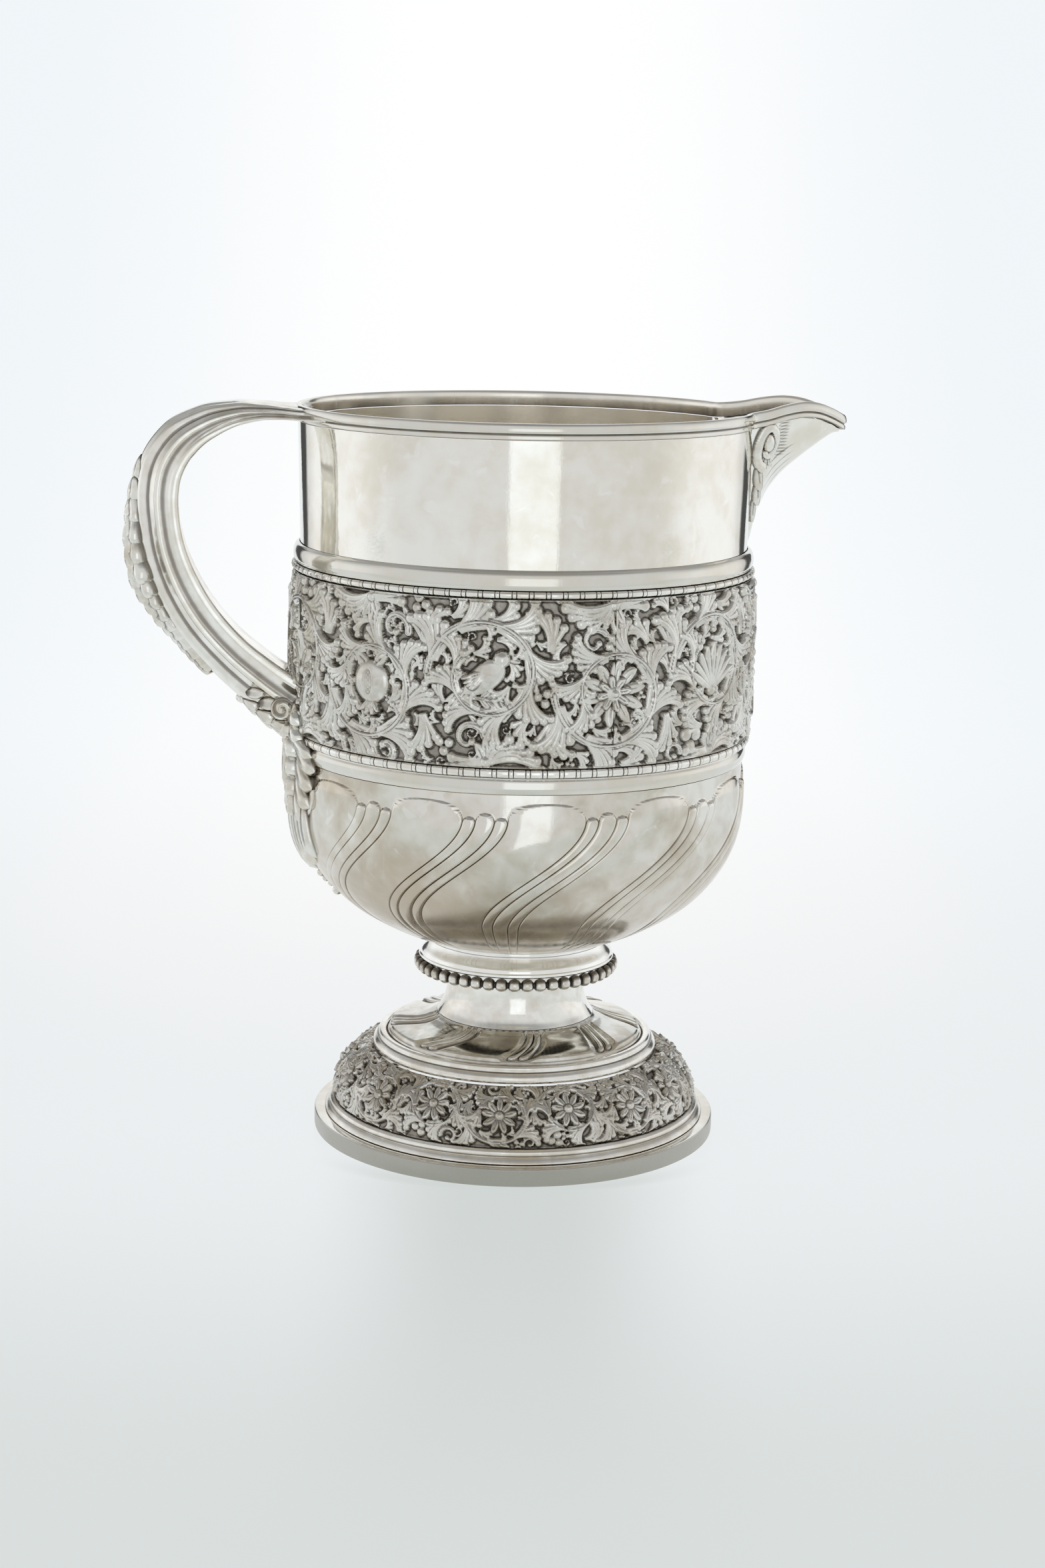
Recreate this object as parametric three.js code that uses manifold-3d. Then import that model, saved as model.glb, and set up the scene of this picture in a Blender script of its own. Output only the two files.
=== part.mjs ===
// Footed silver serving jug: chased cylindrical body on a swirl-fluted bowl, a moulded
// foot, a beak spout with scroll mounts, and a reeded loop handle with cast leaves.
// Millimetres, +Z up. +X is the pouring side, -X the handle side.
import * as THREE from 'three';
import { mergeVertices } from 'three/addons/utils/BufferGeometryUtils.js';
import Module from 'manifold-3d';

const wasm = await Module();
wasm.setup();

// Fits between pieces, and the count of facets
const SOLDER = 0.2;
const FIT = 0.3;
const SHEET = 1.0;
const SIDES = 36;
const SLIM_SIDES = 28;

// Foot, from the table up
const FOOT_R = 75.2;
const FOOT_WALL = 2.0;
const FOOT_HEIGHT = 6.65;
const FOOT_LEDGE = 5.2;
const PLINTH_DEEP = 4.0;
const PLINTH_HEIGHT = 4.85;
const BAND_INSET = 2.0;
const BAND_SPREAD = 18.0;
const BAND_RISE = 19.0;
const BAND_SWEEP = 80;
const BAND_SINK = 0.7;
const BAND_LIFT = 1.2;
const FLOWERS = 12;
const FLOWER_R = 6.5;
const STEP_DEEP = 5.2;
const STEP_HEIGHT = 6.2;
const DOME_HEIGHT = 7.5;
const DOME_LOBES = 8;
const DOME_LOBE_DEPTH = 0.9;
const DOME_SWIRL = 9;
const STEM_R = 25.9;
const STEM_FLARE = 5.0;
const STEM_HEIGHT = 21.1;

// Knop between stem and bowl
const COLLAR_PROUD = 10.5;
const COLLAR_TAPER = 3.2;
const COLLAR_HEIGHT = 9.4;
const BEADS = 48;
const BEAD_WIDE = 2.2;
const BEAD_TALL = 2.4;
const BEAD_WAIST = 0.55;

// Body, bowl and neck
const WALL_R = 81.3;
const BOWL_PROUD = 2.1;
const BOWL_HEIGHT = 68.2;
const BOWL_SHOULDER = 0.1804;
const BOWL_FALL = 0.909;
const BOWL_POWER = 2.3;
const BOWL_STRIP = 2.8;
const FLUTE_UNITS = 12;
const FLUTE_HEIGHT = 1.5;
const FLUTE_TWIST = 27;
const LOWER_MOULD_HEIGHT = 5.6;
const LOWER_REED_HEIGHT = 3.3;
const FRIEZE_HEIGHT = 57.9;
const UPPER_REED_HEIGHT = 2.7;
const UPPER_MOULD_HEIGHT = 6.6;
const NECK_HEIGHT = 43.6;
const NECK_FLARE = 1.0;
const MOULD_PROUD = 2.3;
const REED_PROUD = 3.0;
const FRIEZE_GROUND = 1.7;
const FRIEZE_CROWN = 4.0;
const SCROLLS = 12;
const VINE_R = 16.5;
const VINE_HALF = 6;
const VINE_SWAY = 3.2;
const BOSS_R = 10;
const PALMETTE_R = 11;
const LEAF_HALF = 6;
const SEAT_TURN = 12;

// Rim and spout
const RIM_HEIGHT = 5.5;
const RIM_INNER = 1.3;
const RIM_OUTER = 1.6;
const LIP_START = 27;
const LIP_STEPS = 26;
const SPOUT_REACH = 35.3;
const SPOUT_HALF = 27.2;
const SPOUT_DEPTH = 44.5;

// Handle
const LOOP_REACH = 51.3;
const LOOP_DROP = 107.5;
const HANDLE_HALF = 13.8;
const HANDLE_DEPTH = 15.8;
const LOOP_STEPS = 24;
const HUSKS = 13;
const HUSK_HALF = 4.6;
const HUSK_HEIGHT = 4.4;
const SCROLL_R = 3.9;
const SCROLL_THICK = 7;
const SCROLL_PROUD = 1.6;
const END_BEAD_R = 2.1;
const MOUNT_DROP = 45.8;

// Radii that follow from the sizes above
const PLINTH_R = FOOT_R - FOOT_LEDGE;
const BAND_R = PLINTH_R - BAND_INSET;
const BAND_CENTRE_R = BAND_R - BAND_SPREAD;
const STEP_R = BAND_CENTRE_R + BAND_SPREAD * Math.cos(BAND_SWEEP * Math.PI / 180);
const DOME_R = STEP_R - STEP_DEEP - SOLDER;
const STEM_FOOT_R = STEM_R + STEM_FLARE;
const COLLAR_R = STEM_R + COLLAR_PROUD;
const COLLAR_NECK_R = COLLAR_R - COLLAR_TAPER;
const BEAD_RING_R = COLLAR_R - 0.18 * BEAD_WIDE;
const BOWL_R = WALL_R + BOWL_PROUD;
const BOWL_FLOOR_R = COLLAR_NECK_R + SHEET;
const WALL_TOP_R = WALL_R + NECK_FLARE;
const RIM_R = WALL_TOP_R - SHEET / 2;

// Levels, each piece standing on the one below
const FOOT_TOP = FOOT_HEIGHT;
const PLINTH_BASE = FOOT_TOP + SOLDER;
const PLINTH_TOP = PLINTH_BASE + PLINTH_HEIGHT;
const BAND_BASE = PLINTH_TOP + SOLDER;
const STEP_BASE = BAND_BASE + BAND_RISE * Math.sin(BAND_SWEEP * Math.PI / 180) + SOLDER;
const STEP_TOP = STEP_BASE + STEP_HEIGHT;
const DOME_BASE = STEP_TOP - 0.08 * STEP_HEIGHT;
const DOME_TOP = DOME_BASE + DOME_HEIGHT;
const STEM_BASE = DOME_TOP + SOLDER;
const STEM_TOP = STEM_BASE + STEM_HEIGHT;
const COLLAR_BASE = STEM_TOP + SOLDER;
const COLLAR_TOP = COLLAR_BASE + COLLAR_HEIGHT;
const BOWL_BASE = COLLAR_TOP + SOLDER;
const BOWL_TOP = BOWL_BASE + BOWL_HEIGHT;
const BOWL_WIDEST_Z = BOWL_TOP - BOWL_SHOULDER * BOWL_HEIGHT;
const WALL_BASE = BOWL_TOP + SOLDER;
const LOWER_MOULD_BASE = BOWL_TOP + 2 * SOLDER;
const LOWER_MOULD_TOP = LOWER_MOULD_BASE + LOWER_MOULD_HEIGHT;
const LOWER_REED_BASE = LOWER_MOULD_TOP + SOLDER;
const LOWER_REED_TOP = LOWER_REED_BASE + LOWER_REED_HEIGHT;
const FRIEZE_BASE = LOWER_REED_TOP + SOLDER;
const FRIEZE_TOP = FRIEZE_BASE + FRIEZE_HEIGHT;
const UPPER_REED_BASE = FRIEZE_TOP + SOLDER;
const UPPER_REED_TOP = UPPER_REED_BASE + UPPER_REED_HEIGHT;
const UPPER_MOULD_BASE = UPPER_REED_TOP + SOLDER;
const UPPER_MOULD_TOP = UPPER_MOULD_BASE + UPPER_MOULD_HEIGHT;
const WALL_TOP = UPPER_MOULD_TOP + NECK_HEIGHT;
const RIM_BASE = WALL_TOP + FIT;

const silver = (name, tone, roughness) => {
  const material = new THREE.MeshStandardMaterial({ color: tone, roughness, metalness: 1 });
  material.name = name;
  return material;
};
const BRIGHT = silver('bright_silver', 0xd9d5cb, 0.16);
const SOFT = silver('soft_silver', 0xc9c3b6, 0.26);
const CHASED = silver('chased_silver', 0xa39c8f, 0.38);

const DEG = Math.PI / 180;
const lerp = THREE.MathUtils.lerp;
const smooth = THREE.MathUtils.smoothstep;
const polar = (r, angle, z) => new THREE.Vector3(r * Math.cos(angle), r * Math.sin(angle), z);

// Closed skin with shared corners, no flat slivers and its faces pointing out.
function weld(geometry) {
  geometry.deleteAttribute('normal');
  geometry.deleteAttribute('uv');
  const merged = mergeVertices(geometry, 1e-4);
  const p = merged.attributes.position.array;
  const source = merged.index.array;
  const kept = [];
  let volume = 0;
  const a = new THREE.Vector3();
  const b = new THREE.Vector3();
  const c = new THREE.Vector3();
  for (let i = 0; i < source.length; i += 3) {
    const [i0, i1, i2] = [source[i], source[i + 1], source[i + 2]];
    if (i0 === i1 || i1 === i2 || i2 === i0) continue;
    kept.push(i0, i1, i2);
    a.fromArray(p, i0 * 3);
    b.fromArray(p, i1 * 3);
    c.fromArray(p, i2 * 3);
    volume += a.dot(b.cross(c)) / 6;
  }
  if (volume < 0) {
    for (let i = 0; i < kept.length; i += 3) [kept[i + 1], kept[i + 2]] = [kept[i + 2], kept[i + 1]];
  }
  const out = new THREE.BufferGeometry();
  out.setAttribute('position', new THREE.Float32BufferAttribute(p, 3));
  out.setIndex(kept);
  return out;
}

const solid = (geometry) => {
  const g = weld(geometry);
  return new wasm.Manifold(new wasm.Mesh({
    numProp: 3,
    vertProperties: new Float32Array(g.attributes.position.array),
    triVerts: new Uint32Array(g.index.array),
  }));
};

const skin = (manifold) => {
  const m = manifold.getMesh();
  const g = new THREE.BufferGeometry();
  g.setAttribute('position', new THREE.Float32BufferAttribute(m.vertProperties, 3));
  g.setIndex(Array.from(m.triVerts));
  return g;
};

// Solid of revolution about Z from a closed or axis-to-axis profile of [radius, z].
function revolve(profile, sides = SIDES) {
  const points = profile.map(([r, z]) => new THREE.Vector2(r, z));
  const onAxis = points[0].x === 0 && points[points.length - 1].x === 0;
  if (!onAxis) points.push(points[0].clone());
  return new THREE.LatheGeometry(points, sides).rotateX(Math.PI / 2);
}

// Loft through rings of equal counts, capped at both ends, or joined round on itself.
function loft(rings, round = false) {
  const n = rings[0].length;
  const points = rings.flat();
  const faces = [];
  const spans = round ? rings.length : rings.length - 1;
  for (let i = 0; i < spans; i += 1) {
    const here = i * n;
    const next = ((i + 1) % rings.length) * n;
    for (let j = 0; j < n; j += 1) {
      const k = (j + 1) % n;
      faces.push(here + j, here + k, next + k, here + j, next + k, next + j);
    }
  }
  if (!round) {
    for (const [ring, turn] of [[0, false], [rings.length - 1, true]]) {
      const centre = new THREE.Vector3();
      rings[ring].forEach((q) => centre.addScaledVector(q, 1 / n));
      const hub = points.push(centre) - 1;
      for (let j = 0; j < n; j += 1) {
        const [q0, q1] = [ring * n + j, ring * n + ((j + 1) % n)];
        faces.push(...(turn ? [hub, q0, q1] : [hub, q1, q0]));
      }
    }
  }
  const g = new THREE.BufferGeometry().setFromPoints(points);
  g.setIndex(faces);
  return g;
}

// Value of a station table [[t, value], ...] read along a smooth curve.
function along(table) {
  const last = table.length - 1;
  return (t) => {
    if (t <= table[0][0]) return table[0][1];
    if (t >= table[last][0]) return table[last][1];
    const i = table.findIndex((row, k) => k < last && t <= table[k + 1][0]);
    const f = (t - table[i][0]) / (table[i + 1][0] - table[i][0]);
    return lerp(table[i][1], table[i + 1][1], f * f * (3 - 2 * f) * 0.4 + f * 0.6);
  };
}

const pieces = [];
function piece(name, geometry, material) {
  const mesh = new THREE.Mesh(weld(geometry), material);
  mesh.name = name;
  pieces.push(mesh);
}

// A profile written as shares of a piece's depth and height
const scaled = (r, deep, z, high, shares) => shares.map(([d, h]) => [r - d * deep, z + h * high]);

// Foot: ring, plinth moulding, chased band, step, lobed dome and hollow stem
piece('foot_ring', revolve([
  [FOOT_R - FOOT_WALL, 0], [FOOT_R, 0], [FOOT_R, FOOT_TOP - SHEET / 2], [FOOT_R - SHEET / 2, FOOT_TOP],
  [PLINTH_R - 1.5 * PLINTH_DEEP, FOOT_TOP], [PLINTH_R - 1.5 * PLINTH_DEEP, FOOT_TOP - SHEET],
  [FOOT_R - FOOT_WALL, FOOT_TOP - SHEET],
]), SOFT);

piece('plinth_moulding', revolve(scaled(PLINTH_R, PLINTH_DEEP, PLINTH_BASE, PLINTH_HEIGHT, [
  [1, 0], [0, 0], [0.12, 0.31], [0.02, 0.45], [0.15, 0.64], [0.4, 1], [1, 1],
])), SOFT);

// Chased band: a quarter ellipse with flowers in relief, parted by upright leaves
const mound = (away, reach) => Math.max(0, 1 - (away / reach) ** 2);
const bandPitch = Math.PI * 2 / FLOWERS;
const bandPoint = (turn, f, lift) => polar(
  BAND_CENTRE_R + (BAND_SPREAD + lift) * Math.cos(f * BAND_SWEEP * DEG), turn,
  BAND_BASE + (BAND_RISE + lift) * Math.sin(f * BAND_SWEEP * DEG),
);
const bandRise = (turn, f) => {
  const x = (turn % bandPitch - bandPitch / 2) * BAND_R;
  const up = (f - 0.5) * BAND_SWEEP * DEG * BAND_RISE;
  const leaf = 0.75 * mound(bandPitch / 2 * BAND_R - Math.abs(x), FLOWER_R);
  return BAND_LIFT * Math.max(mound(Math.hypot(x, up), FLOWER_R), leaf) - BAND_SINK;
};
const bandRings = Array.from({ length: FLOWERS * 4 }, (_, i) => {
  const turn = i * bandPitch / 4;
  const front = [0, 0.25, 0.5, 0.75, 1].map((f) => bandPoint(turn, f, f > 0 && f < 1 ? bandRise(turn, f) : 0));
  return [...front, ...[1, 0].map((f) => bandPoint(turn, f, -BAND_SINK - 1.3 * SHEET))];
});
piece('foot_chased_band', loft(bandRings, true), CHASED);

piece('step_moulding', revolve(scaled(STEP_R, STEP_DEEP, STEP_BASE, STEP_HEIGHT, [
  [0.8, 0], [0.06, 0], [0, 0.26], [0.25, 0.56], [0.38, 0.68], [0.5, 0.95], [0.85, 1], [1, 0.77],
])), BRIGHT);

// Dome: plain panels parted by swirled troughs, drawn in towards the stem
const domeWide = DOME_R - STEM_FOOT_R;
const domeLine = [[0, 0], [0.13, 0.28], [0.4, 0.59], [0.72, 0.79], [1, 1]];
const domeRings = Array.from({ length: DOME_LOBES * 6 }, (_, i) => {
  const turn = (i / (DOME_LOBES * 6)) * Math.PI * 2;
  const trough = Math.max(0, Math.cos(turn * DOME_LOBES)) ** 2;
  const at = ([d, h], inset, sink) => polar(
    DOME_R - d * domeWide - inset, turn + DOME_SWIRL * DEG * smooth(d, 0, 1), DOME_BASE + h * DOME_HEIGHT - sink,
  );
  const line = domeLine.map((q) => at(q, 0, DOME_LOBE_DEPTH * trough * Math.sin(Math.PI * q[0]) ** 0.7));
  const under = [0, 2, 4].map((k) => at(domeLine[k], SHEET * (1 + 0.6 * domeLine[k][0]), SHEET + DOME_LOBE_DEPTH));
  return [...line, ...under.reverse()];
});
piece('foot_dome', loft(domeRings, true), BRIGHT);

const stemLine = [[1, 0], [0.55, 0.09], [0.22, 0.22], [0.03, 0.4], [0.06, 0.7], [0.22, 1]]
  .map(([d, h]) => [STEM_R + d * STEM_FLARE, STEM_BASE + h * STEM_HEIGHT]);
piece('stem', revolve([
  ...stemLine, ...[5, 3, 1, 0].map((i) => [stemLine[i][0] - 1.2 * SHEET, stemLine[i][1]]),
], SLIM_SIDES), BRIGHT);

// Knop: collar with a beaded wire soldered under it
piece('bowl_collar', revolve([
  [STEM_R - 1.5 * SHEET, COLLAR_BASE],
  ...scaled(COLLAR_R, COLLAR_TAPER, COLLAR_BASE, COLLAR_HEIGHT, [
    [0.1, 0], [0, 0.15], [0.37, 0.43], [0.72, 0.52], [0.62, 0.68], [1, 1],
  ]),
  [COLLAR_NECK_R - 2.5 * SHEET, COLLAR_TOP], [COLLAR_NECK_R - 2.5 * SHEET, COLLAR_BASE + 2.5 * SHEET],
  [STEM_R - 1.5 * SHEET, COLLAR_BASE + 1.6 * SHEET],
], SLIM_SIDES), BRIGHT);

const beadZ = COLLAR_BASE - SOLDER - BEAD_TALL * 0.95;
const beadSteps = [BEAD_WAIST, 1];
const beadRings = Array.from({ length: BEADS * beadSteps.length }, (_, i) => {
  const turn = (i / (BEADS * beadSteps.length)) * Math.PI * 2;
  const size = beadSteps[i % beadSteps.length];
  return Array.from({ length: 5 }, (_unused, k) => {
    const a = (k / 5) * Math.PI * 2;
    const r = BEAD_RING_R + BEAD_WIDE * size * Math.cos(a);
    return polar(r, turn, beadZ + BEAD_TALL * size * Math.sin(a));
  });
});
piece('bead_ring', loft(beadRings, true), SOFT);

// Bowl: superellipse of revolution carrying broad lobes parted by triple reeds, all
// drawn into one S-shaped swirl
const bowlRadius = (z) => {
  const fall = Math.min(1, Math.max(0, (BOWL_WIDEST_Z - z) / (BOWL_FALL * BOWL_HEIGHT)));
  return BOWL_R * Math.sqrt(1 - fall ** BOWL_POWER);
};
const fluteUnit = [
  ['lobe', -9.5, 0.05], ['lobe', -4.4, 0.95], ['lobe', 4.4, 0.95],
  ['lobe', 9.5, 0.05], ['reed', 11.1, 0.6], ['reed', 12.7, 0.1], ['reed', 15.0, 0.85],
  ['reed', 17.3, 0.1], ['reed', 18.9, 0.6],
];
const fluteStart = BOWL_TOP - BOWL_STRIP;
const fluteRun = fluteStart - BOWL_BASE;
const bowlLevels = [0, 0.04, 0.11, 0.25, 0.41, 0.57, 0.74, 0.9]
  .map((f) => fluteStart - f * fluteRun);
const swirl = (z) => -FLUTE_TWIST * DEG * smooth((fluteStart - z) / fluteRun, 0.09, 0.76);
const bowlRings = [];
for (let unit = 0; unit < FLUTE_UNITS; unit += 1) {
  for (const [kind, degrees, height] of fluteUnit) {
    const turn = (unit * 360 / FLUTE_UNITS + degrees) * DEG;
    const top = fluteStart - fluteRun * (kind === 'reed' ? 0.05 : 0.006);
    const ring = [new THREE.Vector3(0, 0, BOWL_TOP), polar(BOWL_R - FLUTE_HEIGHT, turn, BOWL_TOP)];
    for (const z of bowlLevels) {
      const low = smooth((z - BOWL_BASE) / fluteRun, 0.01, 0.26);
      const grow = smooth(top - z, 0, 0.04 * fluteRun) * lerp(0.35, 1, low);
      const r = bowlRadius(z) - FLUTE_HEIGHT * (1 - height * grow);
      ring.push(polar(r, turn + swirl(z), z));
    }
    ring.push(polar(BOWL_FLOOR_R, turn + swirl(BOWL_BASE), BOWL_BASE), new THREE.Vector3(0, 0, BOWL_BASE));
    bowlRings.push(ring);
  }
}
const floorZ = BOWL_BASE + 1.4 * SHEET;
const bowlInside = [[0, floorZ], [BOWL_FLOOR_R - 3 * SHEET, floorZ]];
for (const f of [0.1, 0.2, 0.38, 0.72]) {
  const z = BOWL_BASE + f * BOWL_HEIGHT;
  bowlInside.push([bowlRadius(z) - FLUTE_HEIGHT - SHEET, z]);
}
bowlInside.push([WALL_R - SHEET, BOWL_TOP - 4 * SHEET], [WALL_R - SHEET, BOWL_TOP + 5], [0, BOWL_TOP + 5]);
piece('fluted_bowl', skin(solid(loft(bowlRings, true)).subtract(solid(revolve(bowlInside)))), BRIGHT);

// Outline of the spout: a line round the rim that leaves the circle at each side of the
// beak; the keel below it runs out from the wall
const lipHalf = [
  [RIM_R * Math.cos(LIP_START * DEG), RIM_R * Math.sin(LIP_START * DEG), 0],
  [RIM_R * Math.cos(23 * DEG), RIM_R * Math.sin(23 * DEG), 0],
  ...[[-0.1, 1, 0.055], [0.076, 0.875, 0.218], [0.275, 0.75, 0.509], [0.473, 0.625, 0.673], [0.657, 0.478, 0.564],
    [0.827, 0.309, 0.182], [0.949, 0.154, -0.2], [1, 0, -0.345]]
    .map(([f, y, z]) => [WALL_R + f * SPOUT_REACH, y * SPOUT_HALF, z * RIM_HEIGHT]),
];
const lipPath = new THREE.CatmullRomCurve3([
  ...lipHalf.map(([x, y, z]) => new THREE.Vector3(x, -y, RIM_BASE + z)),
  ...lipHalf.slice(0, -1).reverse().map(([x, y, z]) => new THREE.Vector3(x, y, RIM_BASE + z)),
], false, 'centripetal');
const lipWidth = along(lipHalf.map(([x, y]) => [x, y]));
const lipRise = along(lipHalf.map(([x, , z]) => [x, z]));
const keelLine = [
  [-0.21, 1.09], [0.03, 1], [0.1, 0.766], [0.164, 0.656], [0.23, 0.546], [0.329, 0.436], [0.43, 0.353],
  [0.57, 0.258], [0.705, 0.175], [0.841, 0.097], [0.926, 0.065],
];
const keel = along(keelLine.map(([f, d]) => [WALL_R + f * SPOUT_REACH, RIM_BASE - d * SPOUT_DEPTH]));

// Beak as sections across X: a V at the wall that rounds to a U at the tip. A beak grown by
// a thickness moves its keel out and down by it.
const beakStations = [-0.21, -0.065, 0.003, 0.054, 0.105, 0.164, 0.23, 0.35, 0.5, 0.67, 0.82, 0.926]
  .map((f) => WALL_R + f * SPOUT_REACH);
function beak(grow, lift, from = [], to = []) {
  return loft([...from, ...beakStations, ...to].map((x) => {
    const half = Math.max(1.2, lipWidth(x) + grow);
    const top = RIM_BASE + lipRise(x) - FIT;
    const deep = Math.max(0.8, top - keel(x - grow) + grow * 0.6);
    const round = lerp(1.35, 2.1, smooth((x - WALL_R) / SPOUT_REACH, 0.08, 0.87));
    const ring = [-1, -0.75, -0.5, -0.25, 0, 0.25, 0.5, 0.75, 1].map((f) => new THREE.Vector3(
      x, half * f, top - deep * (1 - Math.abs(f) ** round),
    ));
    if (lift > 0) ring.push(new THREE.Vector3(x, half, top + lift), new THREE.Vector3(x, -half, top + lift));
    return ring;
  }));
}

// Outside of the finished body, grown by the fit, that every mount on it is cut to
const bodyOutline = (gap) => revolve([
  [0, COLLAR_TOP], [BOWL_FLOOR_R + gap, COLLAR_TOP],
  ...[0.03, 0.1, 0.16, 0.22, 0.29, 0.38, 0.48, 0.6, 0.72, 0.82].map((f) => {
    const z = BOWL_BASE + f * BOWL_HEIGHT;
    return [bowlRadius(z) + gap, z];
  }),
  [BOWL_R + gap, BOWL_TOP], [WALL_R + REED_PROUD + gap, LOWER_MOULD_TOP],
  [WALL_R + REED_PROUD + gap, LOWER_REED_TOP],
  [WALL_R + FRIEZE_CROWN + gap, lerp(FRIEZE_BASE, FRIEZE_TOP, 0.25)],
  [WALL_R + FRIEZE_CROWN + gap, lerp(FRIEZE_BASE, FRIEZE_TOP, 0.75)],
  [WALL_R + REED_PROUD + gap, UPPER_REED_BASE], [WALL_R + REED_PROUD + gap, UPPER_MOULD_BASE],
  [WALL_R + MOULD_PROUD + gap, UPPER_MOULD_TOP], [WALL_R + gap, UPPER_MOULD_TOP + 1],
  [WALL_TOP_R + gap, WALL_TOP - FIT], [RIM_R + RIM_OUTER + gap, RIM_BASE - 2 * FIT],
  [RIM_R + RIM_OUTER + gap, RIM_BASE + 4 * RIM_HEIGHT], [0, RIM_BASE + 4 * RIM_HEIGHT],
], SIDES * 3);
const bodyBlock = solid(bodyOutline(FIT));

// Body: plain sheet cylinder notched for the spout, wearing applied bands
const wall = solid(revolve([
  [WALL_R - SHEET, WALL_BASE], [WALL_R, WALL_BASE], [WALL_R, UPPER_MOULD_TOP], [WALL_TOP_R, WALL_TOP],
  [WALL_TOP_R - SHEET, WALL_TOP], [WALL_R - SHEET, UPPER_MOULD_TOP],
]));
const channel = solid(beak(-SHEET, 24, [WALL_R * 0.74], [WALL_R + 1.07 * SPOUT_REACH]));
piece('body_wall', skin(wall.subtract(channel)), BRIGHT);

// Applied bands: each a ring over the wall, its face given as shares of its proud and height
const overWall = WALL_R + FIT;
const applied = (base, height, proud, shares) => revolve([
  [overWall, base], ...shares.map(([d, h]) => [WALL_R + d * proud, base + h * height]), [overWall, base + height],
]);
piece('lower_moulding', applied(LOWER_MOULD_BASE, LOWER_MOULD_HEIGHT, MOULD_PROUD, [
  [0.4, 0], [0.74, 0.43], [0.52, 1],
]), BRIGHT);
const reed = [[0.73, 0], [1, 0.5], [0.73, 1]];
piece('lower_reed_border', applied(LOWER_REED_BASE, LOWER_REED_HEIGHT, REED_PROUD, reed), SOFT);
// Frieze: a running vine in relief. Each scroll is a ring round a boss that swings up or down,
// a palmette fills the edge that it leaves, upright leaves part the scrolls, and the
// handle's seat is plain.
const vinePitch = 360 / SCROLLS;
const friezeMid = lerp(FRIEZE_BASE, FRIEZE_TOP, 0.5);
const friezeRise = (turn, z) => {
  const unit = Math.floor(turn / vinePitch);
  const hand = unit % 2 === 0 ? 1 : -1;
  const x = (turn - (unit + 0.5) * vinePitch) * DEG * WALL_R;
  const away = Math.hypot(x, z - friezeMid - hand * VINE_SWAY);
  const edge = hand > 0 ? FRIEZE_BASE : FRIEZE_TOP;
  const seat = Math.abs(turn - 180) < SEAT_TURN && z < friezeMid ? 0.9 : 0;
  return Math.max(
    seat, mound(away, BOSS_R), 0.75 * mound(away - VINE_R, VINE_HALF),
    0.7 * mound(Math.hypot(x, z - edge), PALMETTE_R), 0.75 * mound(vinePitch / 2 * DEG * WALL_R - Math.abs(x), LEAF_HALF),
  );
};
const friezeRings = Array.from({ length: SCROLLS * 6 }, (_, i) => {
  const turn = i * vinePitch / 6;
  const at = (f, d) => polar(WALL_R + d, turn * DEG, lerp(FRIEZE_BASE, FRIEZE_TOP, f));
  const front = [0, 0.16, 0.33, 0.5, 0.67, 0.84, 1].map((f) => {
    const rise = f > 0 && f < 1 ? friezeRise(turn, lerp(FRIEZE_BASE, FRIEZE_TOP, f)) : 0;
    return at(f, lerp(FRIEZE_GROUND, FRIEZE_CROWN, rise));
  });
  return [...front, at(1, 2 * SOLDER), at(0, 2 * SOLDER)];
});
piece('frieze_band', loft(friezeRings, true), CHASED);
piece('upper_reed_border', applied(UPPER_REED_BASE, UPPER_REED_HEIGHT, REED_PROUD, reed), SOFT);
piece('upper_moulding', applied(UPPER_MOULD_BASE, UPPER_MOULD_HEIGHT, MOULD_PROUD, [
  [0.87, 0], [1, 0.36], [0.7, 0.82],
]), BRIGHT);

// Rim: a reeded wire of one section, round the mouth and on along the spout's lip
const rimSection = [
  [-RIM_INNER, 0], [0.75 * RIM_OUTER, 0], [0.5 * RIM_OUTER, 0.35 * RIM_HEIGHT], [RIM_OUTER, 0.55 * RIM_HEIGHT],
  [0.62 * RIM_OUTER, RIM_HEIGHT], [-0.38 * RIM_INNER, 0.96 * RIM_HEIGHT], [-RIM_INNER, 0.76 * RIM_HEIGHT],
];
const rimRing = solid(revolve(rimSection.map(([d, h]) => [RIM_R + d, RIM_BASE + h])));
const mouthWedge = new THREE.Shape([
  new THREE.Vector2(0, 0),
  new THREE.Vector2(2 * RIM_R, -2 * RIM_R * Math.tan((LIP_START + 0.25) * DEG)),
  new THREE.Vector2(2 * RIM_R, 2 * RIM_R * Math.tan((LIP_START + 0.25) * DEG)),
]);
const wedge = new THREE.ExtrudeGeometry(mouthWedge, { depth: 6 * RIM_HEIGHT, bevelEnabled: false });
piece('rim_moulding', skin(rimRing.subtract(solid(wedge.translate(0, 0, RIM_BASE - 3 * RIM_HEIGHT)))), BRIGHT);

const lipAlong = (section) => loft(Array.from({ length: LIP_STEPS + 1 }, (_, i) => {
  const at = lipPath.getPointAt(i / LIP_STEPS);
  const run = lipPath.getTangentAt(i / LIP_STEPS).setZ(0).normalize();
  if (i === 0) run.set(Math.sin(LIP_START * DEG), Math.cos(LIP_START * DEG), 0);
  if (i === LIP_STEPS) run.set(-Math.sin(LIP_START * DEG), Math.cos(LIP_START * DEG), 0);
  const out = new THREE.Vector3(run.y, -run.x, 0);
  return section.map(([d, h]) => at.clone().addScaledVector(out, d).setZ(at.z + h));
}));
piece('spout_lip', lipAlong(rimSection), BRIGHT);

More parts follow.
